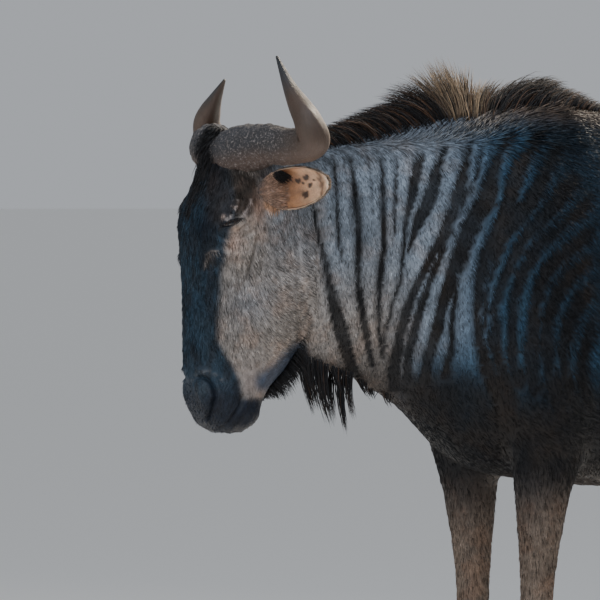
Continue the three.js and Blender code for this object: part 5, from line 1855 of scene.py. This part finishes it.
# Levels of a claw above the ground, and how far each is drawn in towards its middle
CLAW_LEVELS = np.array([0.0, 0.0, 0.0022, 0.008, 0.020, 0.035, 0.048, 0.057, 0.0605, 0.0605])
CLAW_SHRINK = np.array([0.55, 0.965, 1.0, 1.0, 1.0, 1.0, 1.0, 1.0, 0.90, 0.5])
DEWCLAW_RADIUS = 0.0105
DEWCLAW_HEIGHT = 0.124
for end, rows in (("front", FORE_LEG), ("hind", HIND_LEG)):
    for side, name in ((-1, "left"), (1, "right")):
        _, x, outwards, top_length, top_width = rows[-1]
        claws = []
        for half in (-1, 1):
            share = CLAW_LEVELS / HOOF_HEIGHT
            ahead = HOOF_LEAN * (1 - share)
            length = HOOF_HALF_LENGTH + (top_length + 0.003 - HOOF_HALF_LENGTH) * share**0.9
            width = HOOF_HALF_WIDTH + (top_width + 0.002 - HOOF_HALF_WIDTH) * share**0.9
            angle = np.linspace(0, 2 * math.pi, 56, endpoint=False)[None, :]
            c, s = np.cos(angle), np.sin(angle)
            toe = 1 - 0.30 * np.clip(-c, 0, 1) ** 2
            mid = (CLEFT + (width - CLEFT) / 2)[:, None] * toe
            reach = (width[:, None] - CLEFT) / 2 * toe
            px = x - ahead[:, None] + length[:, None] * CLAW_SHRINK[:, None] * power(c, 0.88)
            py = side * outwards + half * (mid + reach * CLAW_SHRINK[:, None] * power(s, 0.72))
            pz = np.broadcast_to(CLAW_LEVELS[:, None], px.shape)
            claws.append(face_outwards(lofted("claw", np.stack([px, py, pz], -1))))
        for half in (-1, 1):
            rings = []
            for share in np.linspace(0.0, 1.0, 14):
                size = DEWCLAW_RADIUS * math.sqrt(max(1 - share**2.2, 0.0)) + 0.0002
                aside = side * outwards + half * (0.015 + 0.003 * share)
                centre = np.array((x + 0.024 + 0.022 * share, aside, DEWCLAW_HEIGHT - 0.016 * share))
                angle = np.linspace(0, 2 * math.pi, 24, endpoint=False)
                ring = np.stack([0.35 * np.sin(angle), np.cos(angle), np.sin(angle)], 1)
                rings.append(centre + size * ring)
            claws.append(face_outwards(lofted("dewclaw", np.array(rings))))
        hoof = joined(f"claws_{end}_{name}", claws)
        hoof.data.materials.append(hoof_finish.material)
        bpy.ops.object.shade_smooth_by_angle(angle=math.radians(48))
        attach(hoof, "root")
        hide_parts(f"hoof_{end}_{name}")

# Floor, light and camera: a pale studio floor, a broad cool light from the near side and in front,
# and a warm one from behind and above, as the low sun stands in the photograph.

bpy.ops.object.select_all(action="DESELECT")
FLOOR_RADIUS = 300
FLOOR_CORNERS = 96
floor_points = []
for corner in range(FLOOR_CORNERS):
    turn = corner * math.pi / (FLOOR_CORNERS // 2)
    floor_points.append((FLOOR_RADIUS * math.cos(turn), FLOOR_RADIUS * math.sin(turn), 0))
floor_mesh = bpy.data.meshes.new("floor")
floor_mesh.from_pydata(floor_points, [], [tuple(range(FLOOR_CORNERS))])
floor = bpy.data.objects.new("floor", floor_mesh)
bpy.context.collection.objects.link(floor)
paper = Finish("pale_paper", Roughness=0.9)
grain = paper.noise(40.0)
paper.wear(paper.mix(grain * 0.25, (0.91, 0.90, 0.88), (0.84, 0.83, 0.81)), None, grain, 0.05)
floor_mesh.materials.append(paper.material)


def light(name, place, target, size, power, colour):
    lamp = bpy.data.lights.new(name, "AREA")
    lamp.shape, lamp.size, lamp.energy, lamp.color = "DISK", size, power, colour
    made = bpy.data.objects.new(name, lamp)
    made.location = place
    made.rotation_euler = (Vector(target) - Vector(place)).to_track_quat("-Z", "Y").to_euler()
    bpy.context.collection.objects.link(made)


# name, place, what it is turned to, width across, watts, colour
light("sky_front", (-4.6, -3.0, 3.4), (-0.5, 0, 1.0), 3.2, 175, (0.84, 0.92, 1.0))
light("sky_over", (-0.6, -1.2, 5.2), (-0.4, 0, 1.0), 3.2, 140, (0.78, 0.89, 1.0))
light("low_sun", (3.0, 0.9, 3.9), (-0.7, 0, 1.3), 0.8, 400, (1.0, 0.88, 0.72))
world = bpy.data.worlds.new("studio")
world.use_nodes = True
world.node_tree.nodes["Background"].inputs["Color"].default_value = (0.84, 0.88, 0.94, 1)
world.node_tree.nodes["Background"].inputs["Strength"].default_value = 0.50
bpy.context.scene.world = world

camera_data = bpy.data.cameras.new("camera")
camera = bpy.data.objects.new("camera", camera_data)
bpy.context.collection.objects.link(camera)
look_at = Vector((-0.728, 0.0, 1.057))
turn, lift, distance = math.radians(-33), math.radians(1.5), 12.0
from_here = Vector((math.sin(turn) * math.cos(lift), -math.cos(turn) * math.cos(lift), math.sin(lift)))
camera.location = look_at + from_here * distance
camera.rotation_euler = (look_at - camera.location).to_track_quat("-Z", "Y").to_euler()
SENSOR_MM = 36
SEEN_WIDTH = 0.984
camera_data.sensor_width = SENSOR_MM
camera_data.lens = SENSOR_MM * distance / SEEN_WIDTH
camera_data.clip_end = 100
bpy.context.scene.camera = camera
